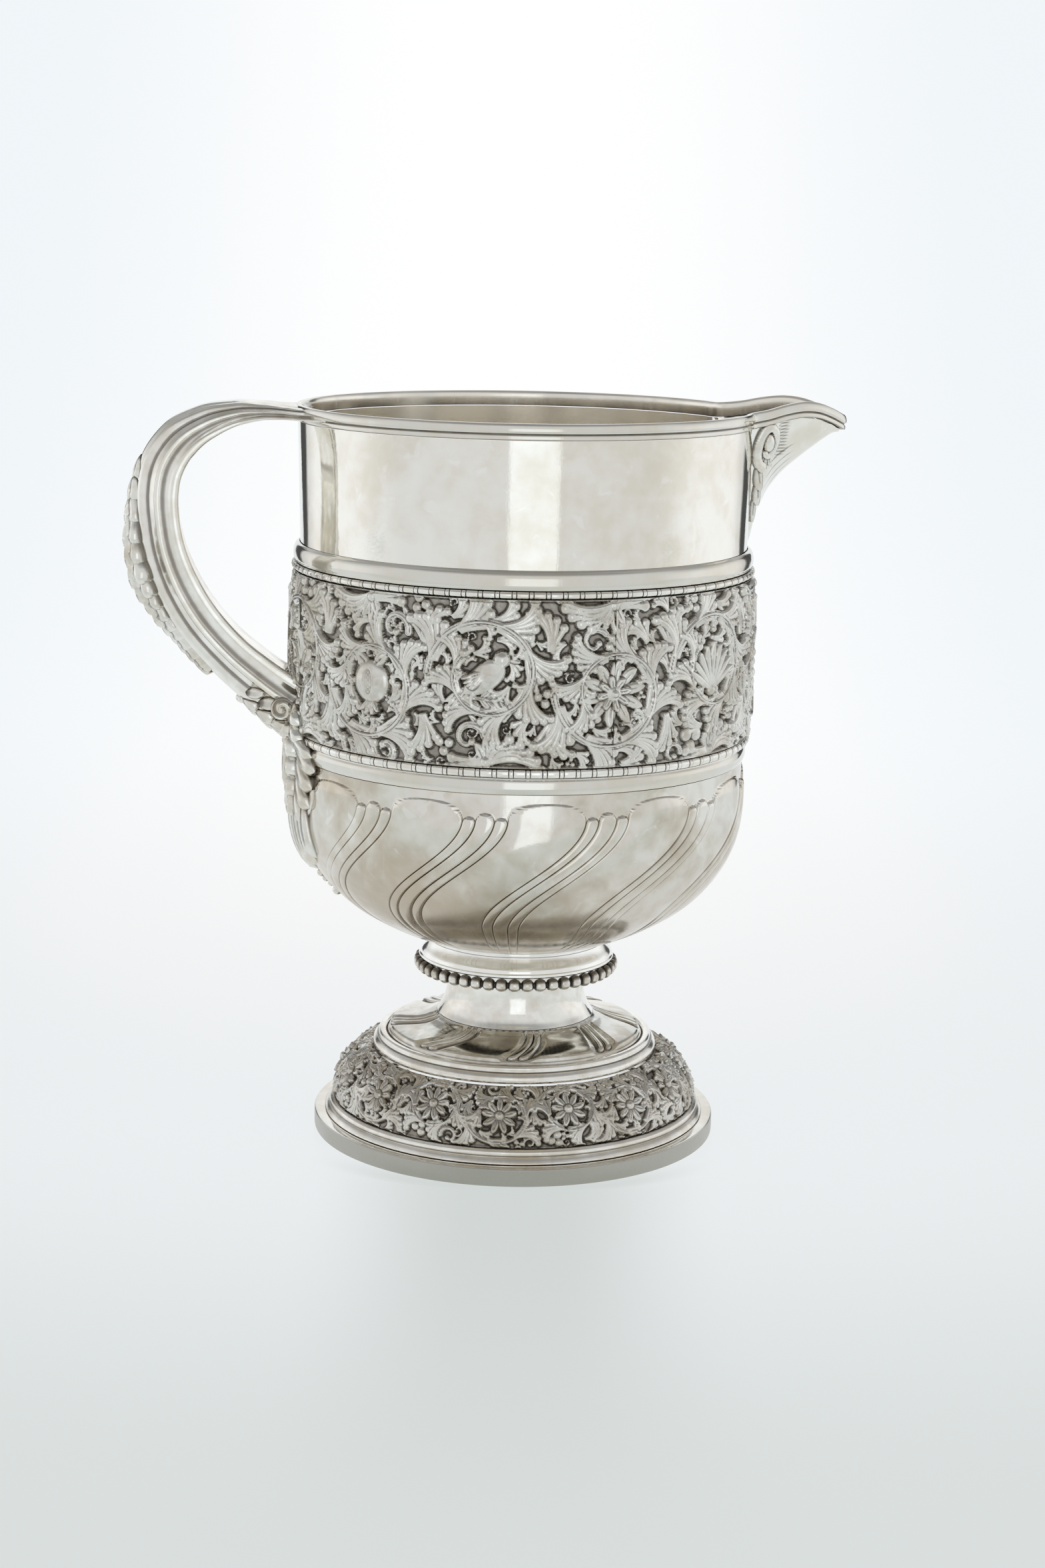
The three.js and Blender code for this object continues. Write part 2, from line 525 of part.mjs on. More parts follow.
const underLip = solid(lipAlong([
  [-RIM_INNER - 1, -FIT], [RIM_OUTER + 1, -FIT], [RIM_OUTER + 1, RIM_HEIGHT], [-RIM_INNER - 1, RIM_HEIGHT],
]));
const largest = (manifold) => manifold.decompose().sort((a, b) => b.volume() - a.volume())[0];
const spoutShell = solid(beak(0, 1)).subtract(channel).subtract(bodyBlock).subtract(underLip);
piece('spout', skin(largest(spoutShell)), BRIGHT);

// Scroll mounts on the flanks of the spout: a leaf-edged comma with a raised eye
const comma = new THREE.Shape(new THREE.SplineCurve([
  [-3.4, -7.2], [0.6, -7.4], [4.4, -3.4], [5.0, 1.6], [3.2, 6.2], [-0.6, 7.6], [-4.0, 5.2],
  [-4.6, 0.4], [-3.6, -3.4], [-3.4, -7.2],
].map(([x, y]) => new THREE.Vector2(x, y))).getPoints(15));
const scrollX = WALL_R + 0.167 * SPOUT_REACH;
for (const side of [-1, 1]) {
  const plate = solid(new THREE.ExtrudeGeometry(comma, { depth: 7, bevelEnabled: false })
    .translate(0, 0, -3.5));
  const eye = solid(new THREE.SphereGeometry(3.0, 8, 5).scale(1, 1.5, 1).translate(0.6, -1.4, 3.2));
  const placed = new THREE.Matrix4().makeTranslation(scrollX, side * 0.86 * lipWidth(scrollX), RIM_BASE - 0.2 * SPOUT_DEPTH)
    .multiply(new THREE.Matrix4().makeRotationZ(side < 0 ? 22 * DEG : 158 * DEG))
    .multiply(new THREE.Matrix4().makeRotationX(116 * DEG));
  const scroll = skin(plate.add(eye)).applyMatrix4(placed);
  const mount = solid(scroll).subtract(solid(beak(FIT + 0.25, 12))).subtract(bodyBlock);
  piece(side < 0 ? 'spout_scroll_right' : 'spout_scroll_left', skin(largest(mount)), SOFT);
}

// Handle: a reeded strap swept round a loop; it thins and spreads into the rim, and its
// lower end meets the frieze. Stations give x, z, depth and half width.
const loop = [
  [-0.14, -0.026, 0.228, 2.609], [0.014, -0.024, 0.247, 2.029], [0.13, -0.025, 0.298, 1.486],
  [0.267, -0.026, 0.373, 1.188], [0.452, -0.018, 0.544, 1.044], [0.657, 0.013, 0.76, 1], [0.838, 0.069, 0.937, 1],
  [0.957, 0.15, 1, 1], [1, 0.243, 1, 1], [0.99, 0.346, 0.981, 1], [0.949, 0.453, 1.025, 1], [0.856, 0.569, 1.089, 1],
  [0.71, 0.684, 1.12, 1], [0.509, 0.792, 1.127, 0.985], [0.292, 0.882, 1.203, 0.97], [0.092, 0.953, 1.297, 0.97],
  [-0.084, 1.006, 1.329, 0.97],
].map(([f, d, deep, half]) => [
  -(WALL_R + f * LOOP_REACH), RIM_BASE + 2 * FIT - d * LOOP_DROP, deep * HANDLE_DEPTH, half * HANDLE_HALF,
]);
const spine = new THREE.CatmullRomCurve3(loop.map(([x, z]) => new THREE.Vector3(x, 0, z)));
const stationAt = loop.map((_, i) => i / (loop.length - 1));
const loopDepth = along(loop.map((row, i) => [stationAt[i], row[2]]));
const loopHalf = along(loop.map((row, i) => [stationAt[i], row[3]]));
const ACROSS = new THREE.Vector3(0, 1, 0);

// Frame of the loop at t: centre, the way out of the loop, depth and half width
function frameAt(t) {
  const out = ACROSS.clone().cross(spine.getTangent(t)).normalize();
  return { at: spine.getPoint(t), out, depth: loopDepth(t), half: loopHalf(t) };
}
const reedHalf = [
  [0, -0.45], [0.9, -0.5], [1.0, -0.4], [0.85, -0.16], [0.9, 0.02], [0.68, 0.16],
  [0.6, 0.38], [0.36, 0.36], [0.28, 0.47],
];
const reedSection = [
  ...reedHalf, [0, 0.5], ...reedHalf.slice(1).reverse().map(([y, d]) => [-y, d]),
];
const onLoop = (t, y, d) => {
  const f = frameAt(t);
  return f.at.clone().addScaledVector(f.out, d).addScaledVector(ACROSS, y);
};
const strap = (grow) => loft(Array.from({ length: LOOP_STEPS + 1 }, (_, i) => {
  const t = i / LOOP_STEPS;
  const { depth, half } = frameAt(t);
  return reedSection.map(([y, d]) => onLoop(t, y * (half + grow), d * (depth + 2 * grow)));
}));
piece('handle', skin(largest(solid(strap(0)).subtract(bodyBlock))), BRIGHT);

// Relief laid along the back of the loop: a flat seat and a rounded crown
function backRelief(t, half, height, count = 6) {
  const seat = loopDepth(t) / 2 + FIT;
  return Array.from({ length: count }, (_, k) => {
    const a = (k / (count - 1)) * Math.PI;
    return onLoop(t, half * Math.cos(a), seat + height * Math.sin(a));
  });
}

// Husk chain: buds that swell to a large one near the top and taper away below
const HUSK_FROM = 0.46;
const HUSK_TO = 0.79;
const huskSize = along([[0, 0.5], [0.1, 0.8], [0.3, 1.5], [0.36, 1.0], [0.62, 1.05], [0.72, 0.8], [1, 0.6]]);
const huskSteps = [0.5, 1, 0.86];
const husks = Array.from({ length: HUSKS * huskSteps.length + 1 }, (_, i) => {
  const f = i / (HUSKS * huskSteps.length);
  const size = huskSize(f) * huskSteps[i % huskSteps.length];
  return backRelief(lerp(HUSK_FROM, HUSK_TO, f), HUSK_HALF * Math.min(1.1, size), HUSK_HEIGHT * size);
});
piece('handle_husk_chain', loft(husks), SOFT);
const beadSeat = onLoop(HUSK_TO + 0.016, 0, loopDepth(HUSK_TO + 0.016) / 2 + FIT + END_BEAD_R);
piece('handle_end_bead', new THREE.SphereGeometry(END_BEAD_R, 10, 6)
  .translate(beadSeat.x, beadSeat.y, beadSeat.z), SOFT);

// Leaf under the loop's lower end, spreading where it meets the body
const leafHeight = along([[0, 0.058], [0.25, 0.232], [0.6, 0.333], [0.85, 0.45], [1, 0.55]]);
const leafHalf = along([[0, 0.145], [0.3, 0.58], [0.7, 0.76], [1, 0.906]]);
const leaf = loft(Array.from({ length: 11 }, (_, i) => {
  const f = i / 10;
  return backRelief(lerp(0.838, 0.99, f), HANDLE_HALF * leafHalf(f), HANDLE_HALF * leafHeight(f), 9);
}));
piece('handle_leaf', skin(largest(solid(leaf).subtract(bodyBlock))), SOFT);

// Scrolls on the flanks of the loop's end, each a disc with a raised eye cut to its seat
const strapBlock = solid(strap(FIT));
const scrollAt = onLoop(0.93, 0, 2.2);
for (const side of [-1, 1]) {
  const face = HANDLE_HALF + SCROLL_PROUD;
  const disc = new THREE.CylinderGeometry(SCROLL_R, SCROLL_R, SCROLL_THICK, 16)
    .translate(scrollAt.x, side * (face - SCROLL_THICK / 2), scrollAt.z);
  const eye = new THREE.SphereGeometry(SCROLL_R * 0.5, 8, 6).translate(scrollAt.x, side * face, scrollAt.z);
  const scroll = solid(disc).add(solid(eye)).subtract(strapBlock).subtract(bodyBlock);
  piece(side < 0 ? 'handle_scroll_right' : 'handle_scroll_left', skin(largest(scroll)), SOFT);
}

// Cast leaf on the body below the handle, and the bead drop that ends it
const mountTop = BOWL_TOP - 1.9;
const mountBase = BOWL_TOP - MOUNT_DROP;
const mountHalf = along([[0, 0.188], [0.16, 0.435], [0.42, 0.55], [0.6, 0.754], [0.8, 0.884], [1, 0.797]]);
const mountProud = along([[0, 0.232], [0.2, 0.246], [0.5, 0.203], [0.66, 0.217], [0.85, 0.304], [1, 0.377]]);
const mountRings = Array.from({ length: 13 }, (_, i) => {
  const f = i / 12;
  const z = lerp(mountBase, mountTop, f);
  const r = z < BOWL_WIDEST_Z ? bowlRadius(z) : BOWL_R;
  const spread = HANDLE_HALF * mountHalf(f) / r;
  const crown = [1, 0.66, 0.33, 0, -0.33, -0.66, -1].map((k) => polar(
    r + HANDLE_HALF * mountProud(f) * (1 - k * k) ** 0.6, Math.PI + spread * k, z,
  ));
  const back = [-1, 0, 1].map((k) => polar(r - 4, Math.PI + spread * k, z));
  return [...crown, ...back];
});
piece('body_leaf_mount', skin(largest(solid(loft(mountRings)).subtract(bodyBlock))), SOFT);

const dropSteps = [[0.9, 1.0], [2.1, 1.7], [3.3, 1.1], [4.5, 1.5], [5.7, 1.0], [7.1, 2.0], [8.7, 0.8]]
  .map(([d, r]) => [mountBase - d, r]);
const dropRings = dropSteps.map(([z, r]) => {
  const seat = bowlRadius(z) + FIT + r * 0.75;
  const lean = Math.atan2(bowlRadius(z + 1) - bowlRadius(z - 1), 2);
  return Array.from({ length: 8 }, (_, k) => {
    const a = (k / 8) * Math.PI * 2;
    const away = r * Math.cos(a);
    return new THREE.Vector3(-(seat + away * Math.cos(lean)), r * Math.sin(a), z - away * Math.sin(lean));
  });
});
piece('bead_drop', skin(largest(solid(loft(dropRings)).subtract(bodyBlock))), SOFT);

// The origin is under the middle of the whole jug, so the axis stands off it towards +X
const jug = new THREE.Group();
pieces.forEach((mesh) => jug.add(mesh));
const reach = new THREE.Box3().setFromObject(jug);
jug.position.x = -(reach.min.x + reach.max.x) / 2;
jug.updateMatrixWorld(true);

export default jug;
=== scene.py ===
"""Looks of the footed silver serving jug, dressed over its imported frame.

Every shape is worked out in millimetres about the jug's own upright axis and is
put into the frame's metres when its piece is placed.
"""
import logging
import math
from dataclasses import dataclass, field
from enum import Enum
from typing import Callable

import bpy
import numpy as np
from mathutils import Matrix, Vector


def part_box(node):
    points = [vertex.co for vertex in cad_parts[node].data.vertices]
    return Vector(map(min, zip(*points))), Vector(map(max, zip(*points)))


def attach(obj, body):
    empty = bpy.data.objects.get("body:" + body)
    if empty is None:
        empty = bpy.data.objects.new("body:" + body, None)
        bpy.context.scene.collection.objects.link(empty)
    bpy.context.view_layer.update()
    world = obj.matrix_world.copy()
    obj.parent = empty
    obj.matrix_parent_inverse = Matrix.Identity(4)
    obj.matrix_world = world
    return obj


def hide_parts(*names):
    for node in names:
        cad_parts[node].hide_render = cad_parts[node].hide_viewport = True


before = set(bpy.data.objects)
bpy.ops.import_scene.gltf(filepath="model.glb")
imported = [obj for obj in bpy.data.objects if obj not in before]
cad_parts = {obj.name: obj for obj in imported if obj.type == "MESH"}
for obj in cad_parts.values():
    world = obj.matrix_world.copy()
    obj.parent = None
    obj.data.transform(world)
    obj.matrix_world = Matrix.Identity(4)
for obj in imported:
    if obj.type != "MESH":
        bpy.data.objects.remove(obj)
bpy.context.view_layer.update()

LOG = logging.getLogger("jug")
Array = np.ndarray
Place = Callable[[Array, Array, Array], Array]
Colour = tuple[float, float, float, float]
MM = 0.001
TAU = 2.0 * math.pi

# Values that several classes share
WALL_RADIUS = 81.3
RIM_BASE = 264.5
BARE = 0.05
SIDES = ((-1, "right"), (1, "left"))


class Slot(Enum):
    """Material slots of the record."""

    BRIGHT = "bright_silver"
    SOFT = "soft_silver"
    CHASED = "chased_silver"


class Crease(Enum):
    """Angle in degrees past which an edge of a piece shades sharp."""

    EDGE = 38.0
    LOOP = 50.0
    REED = 60.0
    ROUND = 70.0
    CAST = 75.0
    PANEL = 80.0


# Curves

def smooth(x: Array, low: float, high: float) -> Array:
    """Smooth step: 3t^2 - 2t^3 of x's place t between low and high."""
    t = np.clip((np.asarray(x, float) - low) / (high - low), 0.0, 1.0)
    return t * t * (3.0 - 2.0 * t)


def bell(x: Array, middle: float | Array, width: float) -> Array:
    """Bell curve: e to the power of minus the square of (x - middle) / width."""
    return np.exp(-((x - middle) / width) ** 2)


def half_round(q: Array) -> Array:
    """Half round: the root of 1 - q^2, and 0 past q = 1."""
    return np.sqrt(np.clip(1 - q ** 2, 0.0, 1.0))


def aim(degrees: float) -> tuple[float, float]:
    """Cosine and sine of an angle in degrees."""
    return math.cos(math.radians(degrees)), math.sin(math.radians(degrees))


def headings(path: Array) -> Array:
    """Way that a flat path runs at each of its points, in degrees without jumps."""
    run = np.gradient(path, axis=0)
    return np.degrees(np.unwrap(np.arctan2(run[:, 1], run[:, 0])))


def around(r: Array | float, turn: Array, z: Array | float) -> Array:
    """Points at radius r, angle turn in radians and height z, spread to one grid."""
    return np.stack(np.broadcast_arrays(r * np.cos(turn), r * np.sin(turn), z), -1)


def closed(grid: Array) -> Array:
    """Grid with its first row repeated after its last."""
    return np.vstack([grid, grid[:1]])


def outline(corners: list[tuple[float, float, float]], steps: int = 6) -> Array:
    """Closed polygon whose corners are eased by quadratic arcs.

    Each corner p becomes the curve from p moved by its ease towards the last corner
    to p moved by its ease towards the next, so 0 is sharp and 0.5 is a soft curve.

    Args:
        corners: (across, up, ease) of each corner.
        steps: points on each arc.

    Returns:
        Points along the outline, as rows of (across, up).
    """
    table = np.array(corners, float)
    p, ease = table[:, None, :2], table[:, None, 2:]
    start = p + ease * (np.roll(p, 1, axis=0) - p)
    end = p + ease * (np.roll(p, -1, axis=0) - p)
    t = np.linspace(0.0, 1.0, steps)[None, :, None]
    return ((1 - t) ** 2 * start + 2 * t * (1 - t) * p + t ** 2 * end).reshape(-1, 2)


def spline(points: list[tuple[float, ...]], count: int, at: Array | None = None) -> Array:
    """Catmull-Rom curve through points, with equal steps of its parameter.

    Args:
        points: rows to pass through, of any width.
        count: number of samples.
        at: parameters from 0 to 1 to read instead of equal steps.

    Returns:
        The samples, one row each.
    """
    p = np.array(points, float)
    p = np.vstack([2 * p[0] - p[1], p, 2 * p[-1] - p[-2]])
    spans = len(p) - 3
    s = (np.linspace(0.0, 1.0, count) if at is None else np.asarray(at, float)) * spans
    i = np.clip(np.floor(s).astype(int), 0, spans - 1)
    t = (s - i)[..., None]
    a, b, c, d = p[i], p[i + 1], p[i + 2], p[i + 3]
    square, cube = 2 * a - 5 * b + 4 * c - d, 3 * b - a - 3 * c + d
    return 0.5 * (2 * b + (c - a) * t + square * t ** 2 + cube * t ** 3)


def along(table: list[tuple[float, float]]) -> Callable[[Array], Array]:
    """Reader of a station table, eased a little between its stations.

    Args:
        table: rows of (place, value), in order of place.

    Returns:
        A function from place to value.
    """
    at, value = np.array(table, float).T

    def read(t: Array) -> Array:
        """Value at a place, which is kept inside the table's ends.

        Args:
            t: the place.

        Returns:
            The value.
        """
        t = np.clip(np.asarray(t, float), at[0], at[-1])
        i = np.clip(np.searchsorted(at, t, side="left") - 1, 0, len(at) - 2)
        f = (t - at[i]) / (at[i + 1] - at[i])
        f = 0.4 * f * f * (3 - 2 * f) + 0.6 * f
        return value[i] + (value[i + 1] - value[i]) * f

    return read


def blur(height: Array, reach: int) -> Array:
    """Mean over a square window, twice, on a map that closes on itself along axis 0.

    Args:
        height: the map.
        reach: half the window, in cells.

    Returns:
        The blurred map.
    """
    span = 2 * reach + 1
    rows = height.shape[1]
    for _ in range(2):
        height = sum(np.roll(height, k, axis=0) for k in range(-reach, reach + 1)) / span
        wide = np.pad(height, ((0, 0), (reach, reach)), mode="edge")
        height = sum(wide[:, k:k + rows] for k in range(span)) / span
    return height


# Skins

@dataclass
class Skin:
    """Closed surface of a piece, in millimetres about the jug's axis."""

    points: Array
    quads: Array
    tris: Array = field(default_factory=lambda: np.zeros((0, 3), int))
    recess: Array | None = None
    inside: Array | None = None

    def channel(self, name: str) -> Array:
        """Values of the recess or inside attribute, 0 where it isn't set."""
        values = getattr(self, name)
        return np.zeros(len(self.points)) if values is None else values


def grid_quads(rows: int, columns: int, wrap_rows: bool, wrap_columns: bool) -> Array:
    """Corner numbers of the faces between neighbouring points of a grid.

    Args:
        rows: points down the grid.
        columns: points across it.
        wrap_rows: whether the last row joins the first.
        wrap_columns: whether the last column joins the first.

    Returns:
        Four corner numbers to a face.
    """
    i = np.arange(rows if wrap_rows else rows - 1)[:, None]
    j = np.arange(columns if wrap_columns else columns - 1)[None, :]
    here, there = i * columns, (i + 1) % rows * columns
    right = (j + 1) % columns
    corners = (here + j, here + right, there + right, there + j)
    return np.stack(np.broadcast_arrays(*corners), -1).reshape(-1, 4)


def loft(
    sections: Array, wrap: bool = False, recess: Array | None = None,
    inside: Array | None = None, shell: bool = False,
) -> Skin:
    """Skin through closed sections, with a cap over each end unless it wraps.

    A cap is a fan, or for a shell, whose sections run out along one face and back along
    the other, a strip between the two faces.

    Args:
        sections: grid of points, one closed section to a row.
        wrap: whether the last section joins the first.
        recess: depth of tarnish and painted shade at each grid point.
        inside: share of the inside finish at each grid point.
        shell: whether the ends are closed by strips.

    Returns:
        The skin.
    """
    rows, columns = sections.shape[:2]
    points = sections.reshape(-1, 3)
    quads = grid_quads(rows, columns, wrap, True)
    far = (rows - 1) * columns
    extra = [
        None if values is None else np.broadcast_to(values, (rows, columns)).reshape(-1)
        for values in (recess, inside)
    ]
    if shell:
        k = np.arange(columns // 2 - 1)
        cap = np.stack([k, k + 1, columns - 2 - k, columns - 1 - k], 1)
        quads = np.vstack([quads, cap[:, ::-1], far + cap])
    if wrap or shell:
        return Skin(points, quads, recess=extra[0], inside=extra[1])
    ring = np.arange(columns)
    after = (ring + 1) % columns
    hub = np.full(columns, len(points))
    first = np.stack([hub, after, ring], 1)
    final = np.stack([hub + 1, far + ring, far + after], 1)
    points = np.vstack([points, sections[0].mean(0), sections[-1].mean(0)])
    extra = [None if values is None else np.append(values, values[[0, -1]]) for values in extra]
    return Skin(points, quads, np.vstack([first, final]), *extra)


def revolve(profile: Array, sides: int, recess: Array | None = None) -> Skin:
    """Skin of a closed profile of (radius, height) turned about the axis."""
    turn = np.linspace(0.0, TAU, sides, endpoint=False)[:, None]
    return loft(around(profile[None, :, 0], turn, profile[None, :, 1]), True, recess)


def copies(points: Array, recess: Array | None = None) -> Skin:
    """Skin of like grids, each closed on itself along its last way.

    Args:
        points: a grid of points for each copy.
        recess: depth of tarnish and painted shade, spread to the grids.

    Returns:
        The skin.
    """
    count, rows, columns = points.shape[:3]
    starts = np.arange(count)[:, None, None] * rows * columns
    quads = grid_quads(rows, columns, False, True)[None] + starts
    if recess is not None:
        recess = np.broadcast_to(recess, points.shape[:3]).reshape(-1)
    return Skin(points.reshape(-1, 3), quads.reshape(-1, 4), recess=recess)


def join(skins: list[Skin]) -> Skin:
    """One skin of several, side by side.

    Args:
        skins: the skins to join.

    Returns:
        The skin.
    """
    starts = np.cumsum([0] + [len(skin.points) for skin in skins[:-1]])
    return Skin(
        np.vstack([skin.points for skin in skins]),
        np.vstack([skin.quads + k for skin, k in zip(skins, starts)]),
        np.vstack([skin.tris + k for skin, k in zip(skins, starts)]),
        np.concatenate([skin.channel("recess") for skin in skins]),
        np.concatenate([skin.channel("inside") for skin in skins]),
    )


def hug(points: Array, radius: float | Array) -> Array:
    """Points with those nearer the axis than radius pushed straight out to it."""
    away = np.hypot(points[..., 0], points[..., 1])
    grow = np.maximum(radius / np.maximum(away, 1e-6), 1.0)
    return np.stack([points[..., 0] * grow, points[..., 1] * grow, points[..., 2]], -1)


def balls(centres: Array, radii: Array, steps: tuple[int, int] = (10, 14)) -> Skin:
    """Round beads, each a grid of latitude by longitude.

    Args:
        centres: middle of each bead.
        radii: radius of each bead.
        steps: grid from pole to pole and round.

    Returns:
        The skin.
    """
    lat = np.linspace(-math.pi / 2, math.pi / 2, steps[0])[:, None]
    lon = np.linspace(0.0, TAU, steps[1], endpoint=False)[None, :]
    unit = around(np.cos(lat), lon, np.sin(lat))
    middle, r = np.reshape(centres, (-1, 1, 1, 3)), np.reshape(radii, (-1, 1, 1, 1))
    return copies(middle + r * unit[None])


def drops(
    rows: list[tuple[float, ...]], place: Place, steps: tuple[int, int] = (12, 14),
    deep: float = 0.8, crease: float = 0.75,
) -> Skin:
    """Cast leaf lobes: pointed drops that lie on a surface, their lower halves sunk in it.

    A drop's width is a root of u times a root of 1 - u, its crown rises to its tip, and
    a groove runs along its upper side.

    Args:
        rows: (along, across, heading, length, half width, lift, bend) of each drop.
        place: maps along, across and height to points.
        steps: grid along and round a drop.
        deep: how far the lower halves are sunk.
        crease: darkness of the painted shade on the lower halves.

    Returns:
        The skin.
    """
    columns = np.array(rows, float).T[..., None, None]
    x, y, heading, length, half, lift, bend = columns
    u = np.linspace(0.0, 1.0, steps[0])[None, :, None]
    turn = np.linspace(0.0, TAU, steps[1], endpoint=False)[None, None, :]
    swell = 1.8 * np.maximum(u, 1e-4) ** 0.55 * np.maximum(1 - u, 1e-4) ** 0.4
    c, s = np.cos(np.radians(heading)), np.sin(np.radians(heading))
    side = half * swell * np.cos(turn) + bend * u ** 2
    groove = 0.3 * bell(np.cos(turn), 0.0, 0.25) * (np.sin(turn) > 0) * (1 - smooth(u, 0.55, 0.9))
    crown = np.minimum(swell, 1.0) * (0.65 + 0.45 * u) * np.sin(turn) * (1 - groove)
    high = np.where(crown > 0, lift * crown, deep * crown)
    points = place(x + length * u * c - side * s, y + length * u * s + side * c, high)
    # Painted shade on the lower half of each drop and at its root under the drop before it; tarnish in the
    # groove.
    low = smooth(-np.sin(turn), -0.55, 0.1)
    shade = np.clip(crease * low + 1.5 * groove + 0.8 * smooth(-u, -0.35, 0.0), 0.0, 0.85)
    return copies(points, shade)


# Shader maths

class Wire:
    """Output of a shader node that takes part in Python sums."""

    def __init__(self, bench: "Bench", socket: bpy.types.NodeSocket) -> None:
        """Keeps the bench that makes nodes and the socket."""
        self.bench, self.socket = bench, socket

    def _math(self, operation: str, first: "Wire | float", second: "Wire | float" = 0.0) -> "Wire":
        """Math node over one or two values."""
        return self.bench.node("ShaderNodeMath", {"operation": operation}, {0: first, 1: second})

    def __add__(self, other: "Wire | float") -> "Wire":
        """Sum."""
        return self._math("ADD", self, other)

    def __sub__(self, other: "Wire | float") -> "Wire":
        """Difference."""
        return self._math("SUBTRACT", self, other)

    def __rsub__(self, other: float) -> "Wire":
        """Difference from a number."""
        return self._math("SUBTRACT", other, self)

    def __mul__(self, other: "Wire | float") -> "Wire":
        """Product."""
        return self._math("MULTIPLY", self, other)

    def __abs__(self) -> "Wire":
        """Size without its sign."""
        return self._math("ABSOLUTE", self)

    __radd__ = __add__
    __rmul__ = __mul__

    def most(self, other: "Wire | float") -> "Wire":
        """The larger of two values."""
        return self._math("MAXIMUM", self, other)

    def degrees_from(self, ahead: "Wire") -> "Wire":
        """Angle whose tangent is this value over another, in degrees."""
        return self._math("ARCTAN2", self, ahead) * (180.0 / math.pi)

    def ease(self, low: float, high: float) -> "Wire":
        """Smooth step of this value from low to high."""
        inputs = {"Value": self, "From Min": low, "From Max": high}
        return self.bench.node("ShaderNodeMapRange", {"interpolation_type": "SMOOTHSTEP"}, inputs)


class Bench:
    """Node tree under construction."""

    def __init__(self, tree: bpy.types.NodeTree) -> None:
        """Clears the tree and keeps it."""
        self.tree = tree
        tree.nodes.clear()

    def node(
        self, kind: str, settings: dict | None = None, inputs: dict | None = None,
        output: int | str = 0,
    ) -> Wire:
        """Adds one node.

        Args:
            kind: the node's type.
            settings: its attributes, set first.
            inputs: values or wires by socket name or number.
            output: the socket to hand back.

        Returns:
            That output, or the first input of a node that has no outputs.
        """
        made = self.tree.nodes.new(kind)
        for name, value in (settings or {}).items():
            setattr(made, name, value)
        for name, value in (inputs or {}).items():
            if isinstance(value, Wire):
                self.tree.links.new(value.socket, made.inputs[name])
            else:
                made.inputs[name].default_value = value
        return Wire(self, made.outputs[output] if made.outputs else made.inputs[0])

    def place(self, kind: str = "Object") -> Wire:
        """Coordinates of the shaded point."""
        return self.node("ShaderNodeTexCoord", output=kind)

    def level(self, place: Wire) -> Wire:
        """Height of a place."""
        return self.node("ShaderNodeSeparateXYZ", inputs={"Vector": place}, output="Z")

    def vector(self, operation: str, place: Wire, other: tuple[float, float, float]) -> Wire:
        """Number from a place and a fixed vector."""
        return self.node("ShaderNodeVectorMath", {"operation": operation}, {0: place, 1: other}, "Value")

    def mix(self, share: Wire | float, first: "Wire | tuple", second: "Wire | tuple") -> Wire:
        """Colour between two colours."""
        return self.node("ShaderNodeMix", {"data_type": "RGBA"}, {0: share, 6: first, 7: second}, 2)

    def noise(self, place: Wire, scale: float, detail: float = 3.0, warp: float = 0.0) -> Wire:
        """Cloudy noise from 0 to 1."""
        inputs = {"Vector": place, "Scale": scale, "Detail": detail, "Distortion": warp}
        return self.node("ShaderNodeTexNoise", inputs=inputs)

    def attribute(self, name: str) -> Wire:
        """A piece's own attribute."""
        return self.node("ShaderNodeAttribute", {"attribute_name": name}, output="Fac")

    def stretch(self, place: Wire, tall: float, turn: float = 0.0) -> Wire:
        """Coordinates scaled along Z and turned about it."""
        inputs = {"Vector": place, "Scale": (1.0, 1.0, tall), "Rotation": (0.0, 0.0, turn)}
        return self.node("ShaderNodeMapping", inputs=inputs)

    def bump(self, strength: float, distance: float, height: Wire, **normal: Wire) -> Wire:
        """Normal bent by a height, on top of another normal where that is given."""
        inputs = {"Strength": strength, "Distance": distance, "Height": height}
        return self.node("ShaderNodeBump", inputs=inputs | normal)


def tone(red: float, green: float, blue: float) -> Colour:
    """Colour with full alpha, from linear parts."""
    return (red, green, blue, 1.0)


